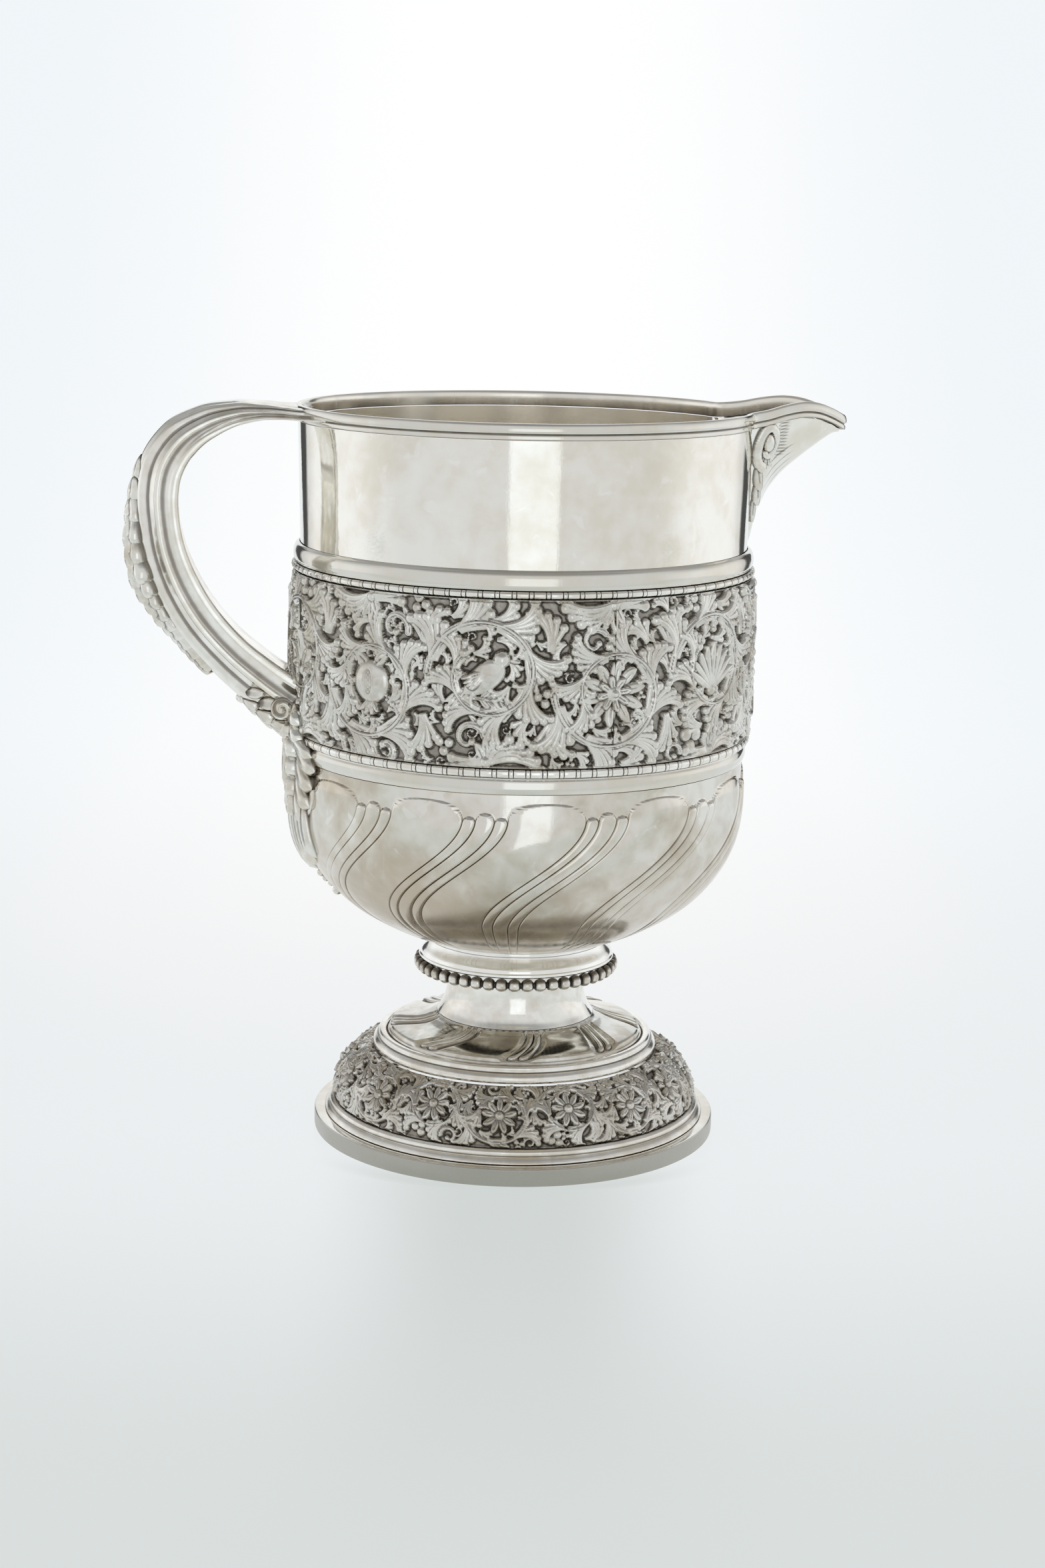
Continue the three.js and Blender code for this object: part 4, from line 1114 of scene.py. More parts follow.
@dataclass(frozen=True)
class Rinceau:
    """Running vine of leafy scrolls that turn up and down by turns.

    The hearts of the scrolls follow one another in the order of a list.
    """

    scrolls: int = 12
    coil: Coil = Coil(outer=21.0, inner=10.6, turns=1.12, ease=0.85, count=64)
    sway: float = 3.2
    fillings: tuple[float, ...] = (5.4, 4.6, 3.8, 3.1, 2.5, 2.0, 1.6)
    tries: int = 2400
    fill_seed: int = 11
    punch_seed: int = 3
    hearts: tuple[Fruit, ...] = (
        Fruit.LILY, Fruit.POMEGRANATE, Fruit.BIRD, Fruit.ROSETTE, Fruit.SHELL, Fruit.GRAPES,
    )

    def draw(self, relief: Relief) -> None:
        """Lays the whole vine on a strip.

        Args:
            relief: the strip.
        """
        pitch = relief.length / self.scrolls
        middle = relief.height / 2
        for k in range(self.scrolls):
            hand = hand_of(k)
            x, y = k * pitch, middle + hand * self.sway
            self.corners(relief, x, hand, pitch)
            self.spiral(relief, x, y, hand)
            self.heart(relief, x, y, hand, k)

        def flow(px: float, py: float) -> float:
            """Heading round the nearest scroll.

            Args:
                px, py: a point of the strip.

            Returns:
                The heading in degrees.
            """
            k = round(px / pitch)
            hand = hand_of(k)
            way = math.atan2(py - middle - hand * self.sway, px - k * pitch)
            return math.degrees(way) - hand * 70.0

        relief.fill(self.fill_seed, self.fillings, self.tries, 1.5, flow)
        relief.stipple(self.punch_seed, 0.12)

    def spiral(self, relief: Relief, x: float, y: float, hand: int) -> None:
        """One scroll's stem, with fronds that spring from both sides and a curled end.

        Args:
            relief: the strip.
            x, y: the scroll's middle.
            hand: 1 or -1, the way it winds.
        """
        path = self.coil.path(x, y, hand)
        heading = headings(path)
        last = self.coil.count - 1
        for i in range(58, 0, -7):
            size = 17.0 - 5.0 * i / last
            relief.frond(*path[i], heading[i] + hand * 12, size, 0.48 * size, hand * 80, 2.2, 6)
        for i in range(52, 0, -8):
            size = 9.0 - 2.2 * i / last
            relief.frond(*path[i], heading[i] - hand * 12, size, 3.4, -hand * 95, 1.7, 4)
        relief.stroke(path, np.linspace(1.6, 1.0, len(path)), 2.2, 0.4, 0.25)
        relief.ball(*path[-1], 2.1, 2.5)

    def corners(self, relief: Relief, x: float, hand: int, pitch: float) -> None:
        """Palmette of fronds and a bud in the space beside a scroll.

        Args:
            relief: the strip.
            x: the scroll's middle along it.
            hand: 1 or -1, the way the scroll winds.
            pitch: length of strip to a scroll.
        """
        middle = relief.height / 2
        edge = middle - hand * (middle - 1.4)
        for side in (-1, 1):
            away = 90.0 * hand - side * hand * 90.0
            for splay, length, half, curl in ((22, 19.0, 6.4, 62), (48, 13.0, 4.6, 80), (76, 9.0, 3.4, 70)):
                relief.frond(x + side * 1.2, edge, away + splay, length, half, -side * hand * curl, 1.9)
        for splay in (-24, 24, 0):
            relief.lobe(x, edge, hand * 90 + splay, 9.5 - 0.06 * abs(splay), 1.9, 2.1, 0.3)
        relief.ball(x, edge + hand * 0.6, 2.2, 2.4)
        for side in (-1, 1):
            root = (x + side * pitch * 0.47, middle + hand * 12.0)
            relief.frond(*root, hand * 90 - side * hand * 8, 15.0, 5.6, side * hand * 80, 1.9)

    def heart(self, relief: Relief, x: float, y: float, hand: int, k: int) -> None:
        """Motif in the middle of a scroll.

        Args:
            relief: the strip.
            x, y: the scroll's middle.
            hand: 1 or -1, the way the scroll winds.
            k: number of the scroll.
        """
        fruit, up = self.hearts[k % len(self.hearts)], 90.0 * hand
        if fruit is Fruit.ROSETTE:
            relief.rosette(x, y, 11.4, 10, 2.2)
            relief.rosette(x, y, 6.2, 8, 2.9)
        elif fruit is Fruit.BIRD:
            relief.acanthus(np.linspace([x - 9.0, y - 8.0], [x + 8.0, y - 9.0], 16), 5.0, 1.3, 6)
            relief.bird(x, y - 0.5, 8.2, 3.0, 1 if k % 4 < 2 else -1)
        elif fruit is Fruit.POMEGRANATE:
            relief.pomegranate(x, y - hand * 0.6, 7.8, 3.0, up)
        elif fruit is Fruit.SHELL:
            relief.shell(x, y - hand * 1.5, 9.2, 2.5, up)
        elif fruit is Fruit.GRAPES:
            for heading in (150, 30, 185, -5):
                relief.lobe(x, y + 5.8, heading, 9.6, 2.8, 1.7)
            relief.cluster(x, y + 4.8, 2.4, 5, 2.4)
        else:
            relief.lily(x, y - hand * 1.0, 8.6, 2.5, up)


@dataclass(frozen=True)
class Garland:
    """Small vine whose scrolls each hold a flower of nine petals."""

    flowers: int = 16
    petals: int = 9
    coil: Coil = Coil(outer=10.8, inner=6.9, turns=1.02, ease=0.8, count=48, stretch=1.15)
    fillings: tuple[float, ...] = (3.2, 2.6, 2.1, 1.7, 1.3)
    tries: int = 1500
    fill_seed: int = 5
    punch_seed: int = 4

    def draw(self, relief: Relief) -> None:
        """Lays the whole vine on a strip.

        Args:
            relief: the strip.
        """
        pitch = relief.length / self.flowers
        middle = relief.height * 0.48
        last = self.coil.count - 1
        for k in range(self.flowers):
            hand = hand_of(k)
            x, y = (k + 0.5) * pitch, middle + hand * 1.1
            path = self.coil.path(x, y, hand)
            heading = headings(path)
            for i in range(44, 0, -7):
                size = 9.6 - 2.4 * i / last
                relief.frond(*path[i], heading[i] + hand * 12, size, 3.9, hand * 84, 1.3, 5)
            for i in range(38, 10, -9):
                relief.frond(*path[i], heading[i] - hand * 14, 4.6, 1.8, -hand * 95, 1.0, 4)
            relief.stroke(path, np.linspace(0.95, 0.5, len(path)), 1.3, 0.25, 0.25)
            relief.rosette(x, y, 6.3, self.petals, 1.9)

        def flow(px: float, py: float) -> float:
            """Heading round the nearest flower."""
            return math.degrees(math.atan2(py - middle, (px % pitch) - pitch / 2)) + 80.0

        relief.fill(self.fill_seed, self.fillings, self.tries, 1.0, flow)
        relief.stipple(self.punch_seed, 0.1)


def applique(relief: Relief, place: Place, corner: tuple[float, float], sink: float, deep: float) -> Skin:
    """Cast ornament laid on a surface, its bare ground sunk out of sight.

    Args:
        relief: the ornament's heights.
        place: maps along, across and height to points.
        corner: along and across of the relief's first cell.
        sink: depth of the bare ground below the surface.
        deep: depth of the back below the bare ground.

    Returns:
        The skin.
    """
    columns, rows = relief.map.shape
    x, y = np.broadcast_arrays(
        corner[0] + np.arange(columns)[:, None] * relief.cell[0],
        corner[1] + np.arange(rows)[None, :] * relief.cell[1],
    )
    front = place(x, y, np.where(relief.map > BARE, relief.map, -sink))
    back = place(x, y, np.full(x.shape, -sink - deep))[:, ::-1]
    shade = relief.recess(1.4)
    grid, shades = np.concatenate([front, back], axis=1), np.concatenate([shade, 0 * shade], axis=1)
    return loft(grid, recess=shades, shell=True)


# Sub-assemblies

@dataclass
class Foot:
    """Foot ring, mouldings, chased band, dome and stem."""

    ring_radius: float = 75.2
    band_centre: tuple[float, float] = (50.0, 11.9)
    band_size: tuple[float, float] = (18.0, 19.0)
    band_sweep: float = 80.0
    band_sink: float = 0.9
    band_thickness: float = 2.2
    band_strip: tuple[float, float] = (406.0, 25.8)
    band_grid: tuple[int, int] = (1344, 84)
    band_panels: int = 2
    dome_units: int = 8
    dome_grid: tuple[int, int] = (84, 56)
    dome_run: float = 21.0
    dome_under: tuple[float, float] = (-1.2, -1.6)
    dome_swirl: float = 14.0
    dome_turn: float = 7.0
    reed_pitch: float = 5.0
    reed_start: float = 0.26
    reed_height: float = 0.85
    panel_height: float = 0.75
    groove_depth: float = 0.5
    rim_depth: float = 0.25
    stem_sheet: float = 1.2
    stem_sides: int = 192
    sides: int = 320

    def build(self, shop: Workshop) -> None:
        """Places every piece of the foot.

        Args:
            shop: what places them.
        """
        ring = outline([
            (73.2, 0, 0.1), (75.0, 0, 0.2), (self.ring_radius, 0.5, 0.4), (self.ring_radius, 6.1, 0.1),
            (74.8, 6.65, 0.3), (64, 6.65, 0.02), (64, 5.65, 0.1), (73.2, 5.65, 0.1),
        ])
        # Painted shade: the ring's upright outer side is darkened, leaving its top bright.
        shade = 0.5 * smooth(ring[:, 0], 74.9, 75.15)
        shop.place("foot_ring_band", revolve(ring, self.sides, shade), Finish.RING, "foot_ring")
        plinth = outline([
            (66, 6.85, 0), (71.2, 6.85, 0.1), (71.3, 7.2, 0.3), (70.4, 8.6, 0.45), (69.3, 9.2, 0.3),
            (69.2, 9.4, 0.2), (69.6, 9.7, 0.4), (69.5, 10.9, 0.45), (68.5, 11.6, 0.3), (68.3, 11.7, 0.1),
            (66, 11.7, 0),
        ])
        # Tarnish in the groove between the rolls, and painted shade where the band sits on top.
        shade = 0.5 * bell(plinth[:, 1], 9.3, 0.2) + 0.4 * smooth(plinth[:, 1], 11.4, 11.7)
        shop.place("plinth_reeds", revolve(plinth, self.sides, shade), Finish.PLINTH, "plinth_moulding")
        self.band(shop)
        step = outline([
            (48.9, 30.8, 0), (52.7, 30.8, 0.2), (53.2, 31.3, 0.4), (53.2, 33.1, 0.45), (52.0, 34.5, 0.4),
            (51.35, 34.7, 0.2), (51.2, 35.1, 0.2), (51.2, 36.2, 0.4), (50.5, 36.95, 0.45),
            (48.8, 37.0, 0.4), (47.9, 35.9, 0.2), (48.3, 34.4, 0),
        ])
        shade = 0.7 * bell(step[:, 1], 34.75, 0.2)
        shop.place("step_roll", revolve(step, self.sides, shade), Finish.PLINTH, "step_moulding")
        self.dome(shop)
        stem = spline([
            (29.3, 44.2), (27.8, 46.6), (26.5, 49.8), (25.7, 54.0), (25.6, 59.0), (26.7, 65.3),
        ], 48)
        wall = np.vstack([stem, stem[::-1] - [self.stem_sheet, 0.0]])
        shop.place("stem_waist", revolve(wall, self.stem_sides), Finish.STEM, "stem")

    def ellipse(self, sweep: Array, height: Array | float) -> tuple[Array, Array]:
        """Radius and level on the band's quarter ellipse, grown by height."""
        r = self.band_centre[0] + (self.band_size[0] + height) * np.cos(sweep)
        return r, self.band_centre[1] + (self.band_size[1] + height) * np.sin(sweep)

    def band(self, shop: Workshop) -> None:
        """Chased band: a quarter ellipse that carries the garland, in panels.

        Args:
            shop: what places them.
        """
        columns, rows = self.band_grid
        relief = Relief(*self.band_strip, columns, rows)
        Garland().draw(relief)
        turn = np.linspace(0.0, TAU, columns + 1)[:, None]
        sweep = np.radians(np.linspace(0.0, self.band_sweep, rows))[None, :]
        edge = smooth(np.arange(rows), 0, 3) * smooth(rows - 1 - np.arange(rows), 0, 3)
        height = closed(relief.map - self.band_sink) * edge - 0.3 * (1 - edge)
        r, z = self.ellipse(sweep, height)
        under = np.radians(np.linspace(self.band_sweep, 0.0, 6))[None, :]
        back_r, back_z = self.ellipse(under, -self.band_thickness)
        sections = np.concatenate([around(r, turn, z), around(back_r, turn, back_z)], axis=1)
        shade = np.concatenate([closed(relief.recess(0.85)), np.ones((columns + 1, under.size))], axis=1)
        finish, node = Finish.FOOT_RELIEF, "foot_chased_band"
        shop.place_panels("foot_garland", sections, shade, self.band_panels, finish, node)

    def dome(self, shop: Workshop) -> None:
        """Dome: plain panels parted by pairs of reeds in an S that end in round tips.

        A reed's height is a half round across its pitch, and its tip at the outer end is
        closed by the same round; panels are edged by a groove.

        Args:
            shop: what places it.
        """
        columns, rows = self.dome_units * self.dome_grid[0], self.dome_grid[1]
        u = np.linspace(0.0, 1.0, rows)[None, :]
        line = spline([
            (47.7, 36.5), (46.6, 38.0), (43.4, 39.0), (39.0, 39.7), (34.8, 40.6), (31.4, 42.1), (29.4, 44.0),
        ], rows)
        turn = np.linspace(0.0, 360.0, columns, endpoint=False)[:, None]
        unit = 360.0 / self.dome_units
        swirl = self.dome_swirl * (0.35 * u + 0.65 * smooth(u, 0.1, 0.85))
        local = (turn + self.dome_turn + unit / 2) % unit - unit / 2
        scale = np.radians(1.0) * line[None, :, 0]
        pitch = self.reed_pitch * scale
        below = np.maximum(0.0, self.reed_start - u) * self.dome_run
        reeds, grooves = np.zeros((2, columns, rows))
        for k in (-0.5, 0.5):
            off = (local - k * self.reed_pitch) * scale
            q = np.clip(np.sqrt(off ** 2 + below ** 2) / (self.reed_pitch * 0.5 * scale), 0, 2)
            reeds = np.maximum(reeds, half_round(q) * (1 - smooth(u, 0.75, 1.0)))
            grooves = np.maximum(grooves, bell(q, 1.0, 0.15) * (1 - smooth(u, 0.84, 1.0)))
        panel = smooth(np.abs(local) * scale, 1.05 * pitch, 1.9 * pitch)
        panel = panel * smooth(u, 0.1, 0.2) * (1 - smooth(u, 0.8, 0.98))
        rim = bell(u, 0.1, 0.018) * panel.max(1, keepdims=True)
        lift = self.reed_height * reeds + self.panel_height * panel
        lift = lift - self.groove_depth * grooves - self.rim_depth * rim
        front = around(line[:, 0] + 0.35 * lift, np.radians(turn + swirl), line[:, 1] + 0.94 * lift)
        under = line[::-8] + np.array(self.dome_under)
        back = around(under[:, 0], np.radians(turn + swirl[:, ::-8]), under[:, 1])
        recess = np.concatenate([0.75 * grooves + 0.4 * rim, np.zeros(back.shape[:2])], axis=1)
        skin = loft(np.concatenate([front, back], 1), True, recess)
        shop.place("foot_dome_reeds", skin, Finish.DOME, "foot_dome", Crease.ROUND)


@dataclass
class Knop:
    """Collar under the bowl and its beaded wire."""

    beads: int = 48
    bead_grid: tuple[int, int] = (13, 18)
    ring: float = 36.0
    wide: float = 2.25
    tall: float = 2.45
    level: float = 63.0
    overlap: float = 1.02
    core: float = 1.1
    core_sides: int = 180
    collar_sides: int = 256

    def build(self, shop: Workshop) -> None:
        """Places the collar and the beads.

        A bead is a superellipse along the ring, turned about it, whose blunt ends overlap
        its neighbours' a little.

        Args:
            shop: what places them.
        """
        collar = outline([
            (24.4, 65.5, 0), (36.0, 65.5, 0.1), (36.5, 66.0, 0.4), (36.4, 66.8, 0.3), (36.0, 67.2, 0.3),
            (35.7, 68.6, 0.45), (34.0, 70.6, 0.45), (33.1, 72.6, 0.4), (33.3, 73.2, 0.3), (33.2, 73.9, 0.3),
            (33.4, 74.6, 0.3), (33.2, 74.9, 0.1), (30.7, 74.9, 0.1), (30.7, 68.0, 0.2), (24.4, 67.1, 0),
        ])
        shade = 0.5 * bell(collar[:, 1], 72.7, 0.16)
        skin = revolve(collar, self.collar_sides, shade)
        shop.place("bowl_collar_rolls", skin, Finish.COLLAR, "bowl_collar")
        lat = np.linspace(-1.0, 1.0, self.bead_grid[0])[:, None]
        lon = np.linspace(0.0, TAU, self.bead_grid[1], endpoint=False)[None, :]
        swell = (1 - np.abs(lat) ** 2.5) ** 0.5
        half = math.pi * self.ring / self.beads * self.overlap
        turn = np.linspace(0.0, TAU, self.beads, endpoint=False)[:, None, None]
        r, z = self.ring + self.wide * swell * np.cos(lon), self.level + self.tall * swell * np.sin(lon)
        points = around(r[None], turn + half * lat[None] / self.ring, z[None])
        # Tarnish and painted shade: beads darken at their ends, where they meet, and over their upper halves
        # under the collar; the core between them is dark all through.
        beads = copies(points, smooth(np.abs(lat), 0.5, 0.95) + 0.55 * smooth(np.sin(lon), 0.0, 1.0))
        corners = ((-1, -1), (1, -1), (1, 1), (-1, 1))
        wire = outline([(self.ring + x * self.core, self.level + z * self.core, 0.4) for x, z in corners], 4)
        core = revolve(wire, self.core_sides, np.ones(len(wire)))
        shop.place("bead_wire", join([beads, core]), Finish.BEAD, "bead_ring")


@dataclass(frozen=True)
class Flute:
    """Raised field of the bowl, one of those that repeat round it.

    Its centre and half width are in degrees; its top lies drop below the bowl's plain
    strip and is rounded over cap, by a superellipse of a power; its height is a share of
    the bowl's lift, and shelf is what its edge has of that.
    """

    centre: float
    half: float
    drop: float = 5.2
    cap: float = 2.3
    share: float = 0.86
    shelf: float = 0.62
    power: float = 2.0


@dataclass
class Bowl:
    """Bowl: a superellipse of revolution with lobes and triple reeds in an S swirl."""

    radius: float = 83.4
    base: float = 75.1
    top: float = 143.3
    shoulder: float = 0.1804
    fall: float = 0.909
    power: float = 2.3
    strip: float = 2.8
    twist: float = 27.0
    units: int = 12
    lift: float = 1.5
    sheet: float = 1.0
    floor: float = 1.4
    mouth: float = 80.3
    pole: float = 0.4
    foot_radius: float = 33.6
    floor_radius: float = 31.2
    groove_depth: float = 0.32
    groove_shade: float = 0.45
    flutes: tuple[Flute, ...] = (
        Flute(0.0, 9.5, 0.25, 7.0, 1.0, 0.5, 2.5), Flute(11.1, 1.6),
        Flute(15.0, 2.3, 3.8, 3.3, 0.98), Flute(18.9, 1.6),
    )

    def at(self, z: Array) -> Array:
        """Radius at a height: R sqrt(1 - drop^power) below the widest level."""
        height = self.top - self.base
        drop = np.clip((self.top - self.shoulder * height - z) / (self.fall * height), 0.0, 1.0)
        return self.radius * np.sqrt(1 - drop ** self.power)

    def rise(self, local: Array, z: Array) -> tuple[Array, Array]:
        """Height of the lobes and reeds, and the groove round each.

        A field's height is a dome of the distance from its edge, which falls off at the
        edge, with a fine groove along it.

        Args:
            local: angle from the middle of a lobe, in degrees.
            z: height above the table.

        Returns:
            The height as a share of the lift, and the groove from 0 to 1.
        """
        unit, start = 360.0 / self.units, self.top - self.strip
        scale = np.radians(1.0) * self.radius
        height, groove = np.zeros((2, len(local), z.size))
        for flute in self.flutes:
            off = np.abs((local - flute.centre + unit / 2) % unit - unit / 2) / flute.half
            above = np.clip((flute.cap - (start - flute.drop - z)) / flute.cap, 0.0, 3.0)
            q = (off ** flute.power + above ** flute.power) ** (1 / flute.power)
            edge = (1 - q) * flute.half * scale
            dome = 1 - (1 - np.clip(edge / (flute.half * scale), 0, 1)) ** 2.6
            field_height = flute.share * (flute.shelf + (1 - flute.shelf) * dome) * smooth(edge, -0.45, 0.35)
            height = np.maximum(height, field_height)
            groove = np.maximum(groove, bell(edge, 0.0, 0.2))
        return height, groove

    def build(self, shop: Workshop) -> None:
        """Places the bowl: its top edge, fluted front, underside and plain inside.

        Args:
            shop: what places it.
        """
        stations = self.stations()
        turn = (np.arange(self.units)[:, None] * 360.0 / self.units + stations[None]).reshape(-1, 1)
        local = np.tile(stations, self.units)[:, None]
        start = self.top - self.strip
        run = start - self.base
        f = np.concatenate([np.linspace(0.0, 0.16, 46), np.linspace(0.175, 1.0, 84)])
        z = (start - f * run)[None, :]
        height, groove = self.rise(local, z)
        low = 0.35 + 0.65 * smooth((z - self.base) / run, 0.01, 0.26)
        rise = self.lift * (height * low - 1.0) - self.groove_depth * groove * (0.4 + 0.6 * low)
        angle = np.radians(turn - self.twist * smooth((start - z) / run, 0.09, 0.76))
        front = around(self.at(z) + rise, angle, z)
        plain = np.radians(turn)
        top = around(self.radius - self.lift, plain, self.top)
        below = around(np.array([self.foot_radius, 12.0, self.pole]), angle[:, -1:], self.base)
        floor = self.base + self.floor
        levels = np.array([0.10, 0.19, 0.32, 0.51, 0.79]) * (self.top - self.base) + self.base
        within = np.array([
            (self.pole, floor), (18.0, floor), (self.floor_radius, floor),
            *zip(self.at(levels) - self.lift - self.sheet, levels),
            (self.mouth, self.top - 4.0), (self.mouth, self.top),
        ])
        inner = around(within[:, 0], plain, within[:, 1])
        sections = np.concatenate([top, front, below, inner], axis=1)
        recess, inside = np.zeros((2, *sections.shape[:2]))
        recess[:, 1:1 + len(f)] = self.groove_shade * groove
        inside[:, -len(within):] = 1.0
        skin = loft(sections, True, recess, inside)
        shop.place("swirl_fluted_bowl", skin, Finish.BOWL, "fluted_bowl", Crease.CAST)

    def stations(self) -> Array:
        """Angles across one unit, crowded where fields meet.

        Returns:
            The angles in degrees from the middle of a lobe.
        """
        edges = np.array([-9.5, 9.5, 12.7, 17.3])
        close = np.array([-0.6, -0.3, -0.14, 0.0, 0.14, 0.3, 0.6])
        open_run = np.concatenate([np.linspace(-8.4, 8.4, 13), [11.1], [13.9, 15.0, 16.1], [18.9]])
        return np.unique(np.concatenate([(edges[:, None] + close).ravel(), open_run]))


@dataclass
class Spout:
    """Lines that the beak, its lip and the notch in the wall share."""

    reach: float = 35.3
    half: float = 27.2
    depth: float = 44.5
    rim_radius: float = 81.8
    rim_height: float = 5.5
    lip_start: float = 27.0
    lip_bend: float = 23.0
    seam: float = 0.3
    least_half: float = 1.2
    least_depth: float = 0.8
    notch_radius: float = 80.8
    notch_margin: float = 2.5

    def __post_init__(self) -> None:
        """Works out the lip's half outline and the readers of its width, rise and keel."""
        near = (aim(self.lip_start), aim(self.lip_bend))
        flare = (
            (-0.1, 1, 0.055), (0.076, 0.875, 0.218), (0.275, 0.75, 0.509), (0.473, 0.625, 0.673),
            (0.657, 0.478, 0.564), (0.827, 0.309, 0.182), (0.949, 0.154, -0.2), (1, 0, -0.345),
        )
        self.edge = [(self.rim_radius * c, self.rim_radius * s, 0.0) for c, s in near]
        self.edge += [
            (WALL_RADIUS + f * self.reach, y * self.half, z * self.rim_height) for f, y, z in flare
        ]
        line = (
            (-0.21, 1.09), (0.03, 1), (0.1, 0.766), (0.164, 0.656), (0.23, 0.546), (0.329, 0.436),
            (0.43, 0.353), (0.57, 0.258), (0.705, 0.175), (0.841, 0.097), (0.926, 0.065), (1.07, 0.06),
        )
        self.width = along([(x, y) for x, y, _ in self.edge])
        self.rise = along([(x, z) for x, _, z in self.edge])
        keel = spline([(WALL_RADIUS + f * self.reach, RIM_BASE - d * self.depth) for f, d in line], 160)
        self.keel = lambda x: np.interp(x, keel[:, 0], keel[:, 1])

    def top(self, x: Array) -> Array:
        """Height of the beak's edge under the lip."""
        return RIM_BASE + self.rise(x) - self.seam

    def power(self, x: Array) -> Array:
        """Power of the beak's section: a V at the wall that rounds to a U at the tip."""
        return 1.35 + 0.75 * smooth((x - WALL_RADIUS) / self.reach, 0.08, 0.87)

    def surface(self, x: Array, f: Array, grow: float) -> Array:
        """Beak: across X the depth falls as the place across to a power.

        Args:
            x: distance out from the axis.
            f: place across, from -1 to 1.
            grow: thickness added outwards.

        Returns:
            Points of the beak.
        """
        half = np.maximum(self.least_half, self.width(x) + grow)
        deep = np.maximum(self.least_depth, self.top(x) - self.keel(x - grow) + 0.6 * grow)
        z = self.top(x) - deep * (1 - np.abs(f) ** self.power(x))
        return np.stack(np.broadcast_arrays(x, half * f, z), -1)

    def notch(self, turn: Array) -> Array:
        """Height at which the wall is cut away for the channel, round the rim.

        Args:
            turn: angle round the wall.

        Returns:
            The height at each angle.
        """
        x, y = self.notch_radius * np.cos(turn), np.abs(self.notch_radius * np.sin(turn))
        half = np.maximum(self.least_half, self.width(x) - self.notch_margin)
        deep = self.top(x) - self.keel(x + 1.0) - 0.6
        z = self.top(x) - deep * (1 - np.clip(y / half, 0, 1) ** self.power(x))
        edge = RIM_BASE - self.seam
        return np.where((x > 0) & (y < half), np.minimum(z, edge), edge)

    def flank(self, x: Array, z: Array, side: int) -> Array:
        """Points of the beak's flank.

        Args:
            x: distance out from the axis.
            z: height, raised to the keel where it is lower.
            side: 1 or -1, the flank.

        Returns:
            The points.
        """
        top = self.top(x)
        deep = np.maximum(self.least_depth, top - self.keel(x))
        z = np.maximum(z, top - 0.97 * deep)
        f = np.clip(1 - (top - z) / deep, 0.0, 1.0) ** (1 / self.power(x))
        y = side * np.maximum(self.least_half, self.width(x)) * f
        return np.stack(np.broadcast_arrays(x, y, z), -1)

    def path(self, count: int) -> Array:
        """Points along the lip from the right seam round the tip to the left one."""
        right = [(x, -y, RIM_BASE + z) for x, y, z in self.edge]
        left = [(x, y, RIM_BASE + z) for x, y, z in self.edge[-2::-1]]
        return spline(right + left, count)


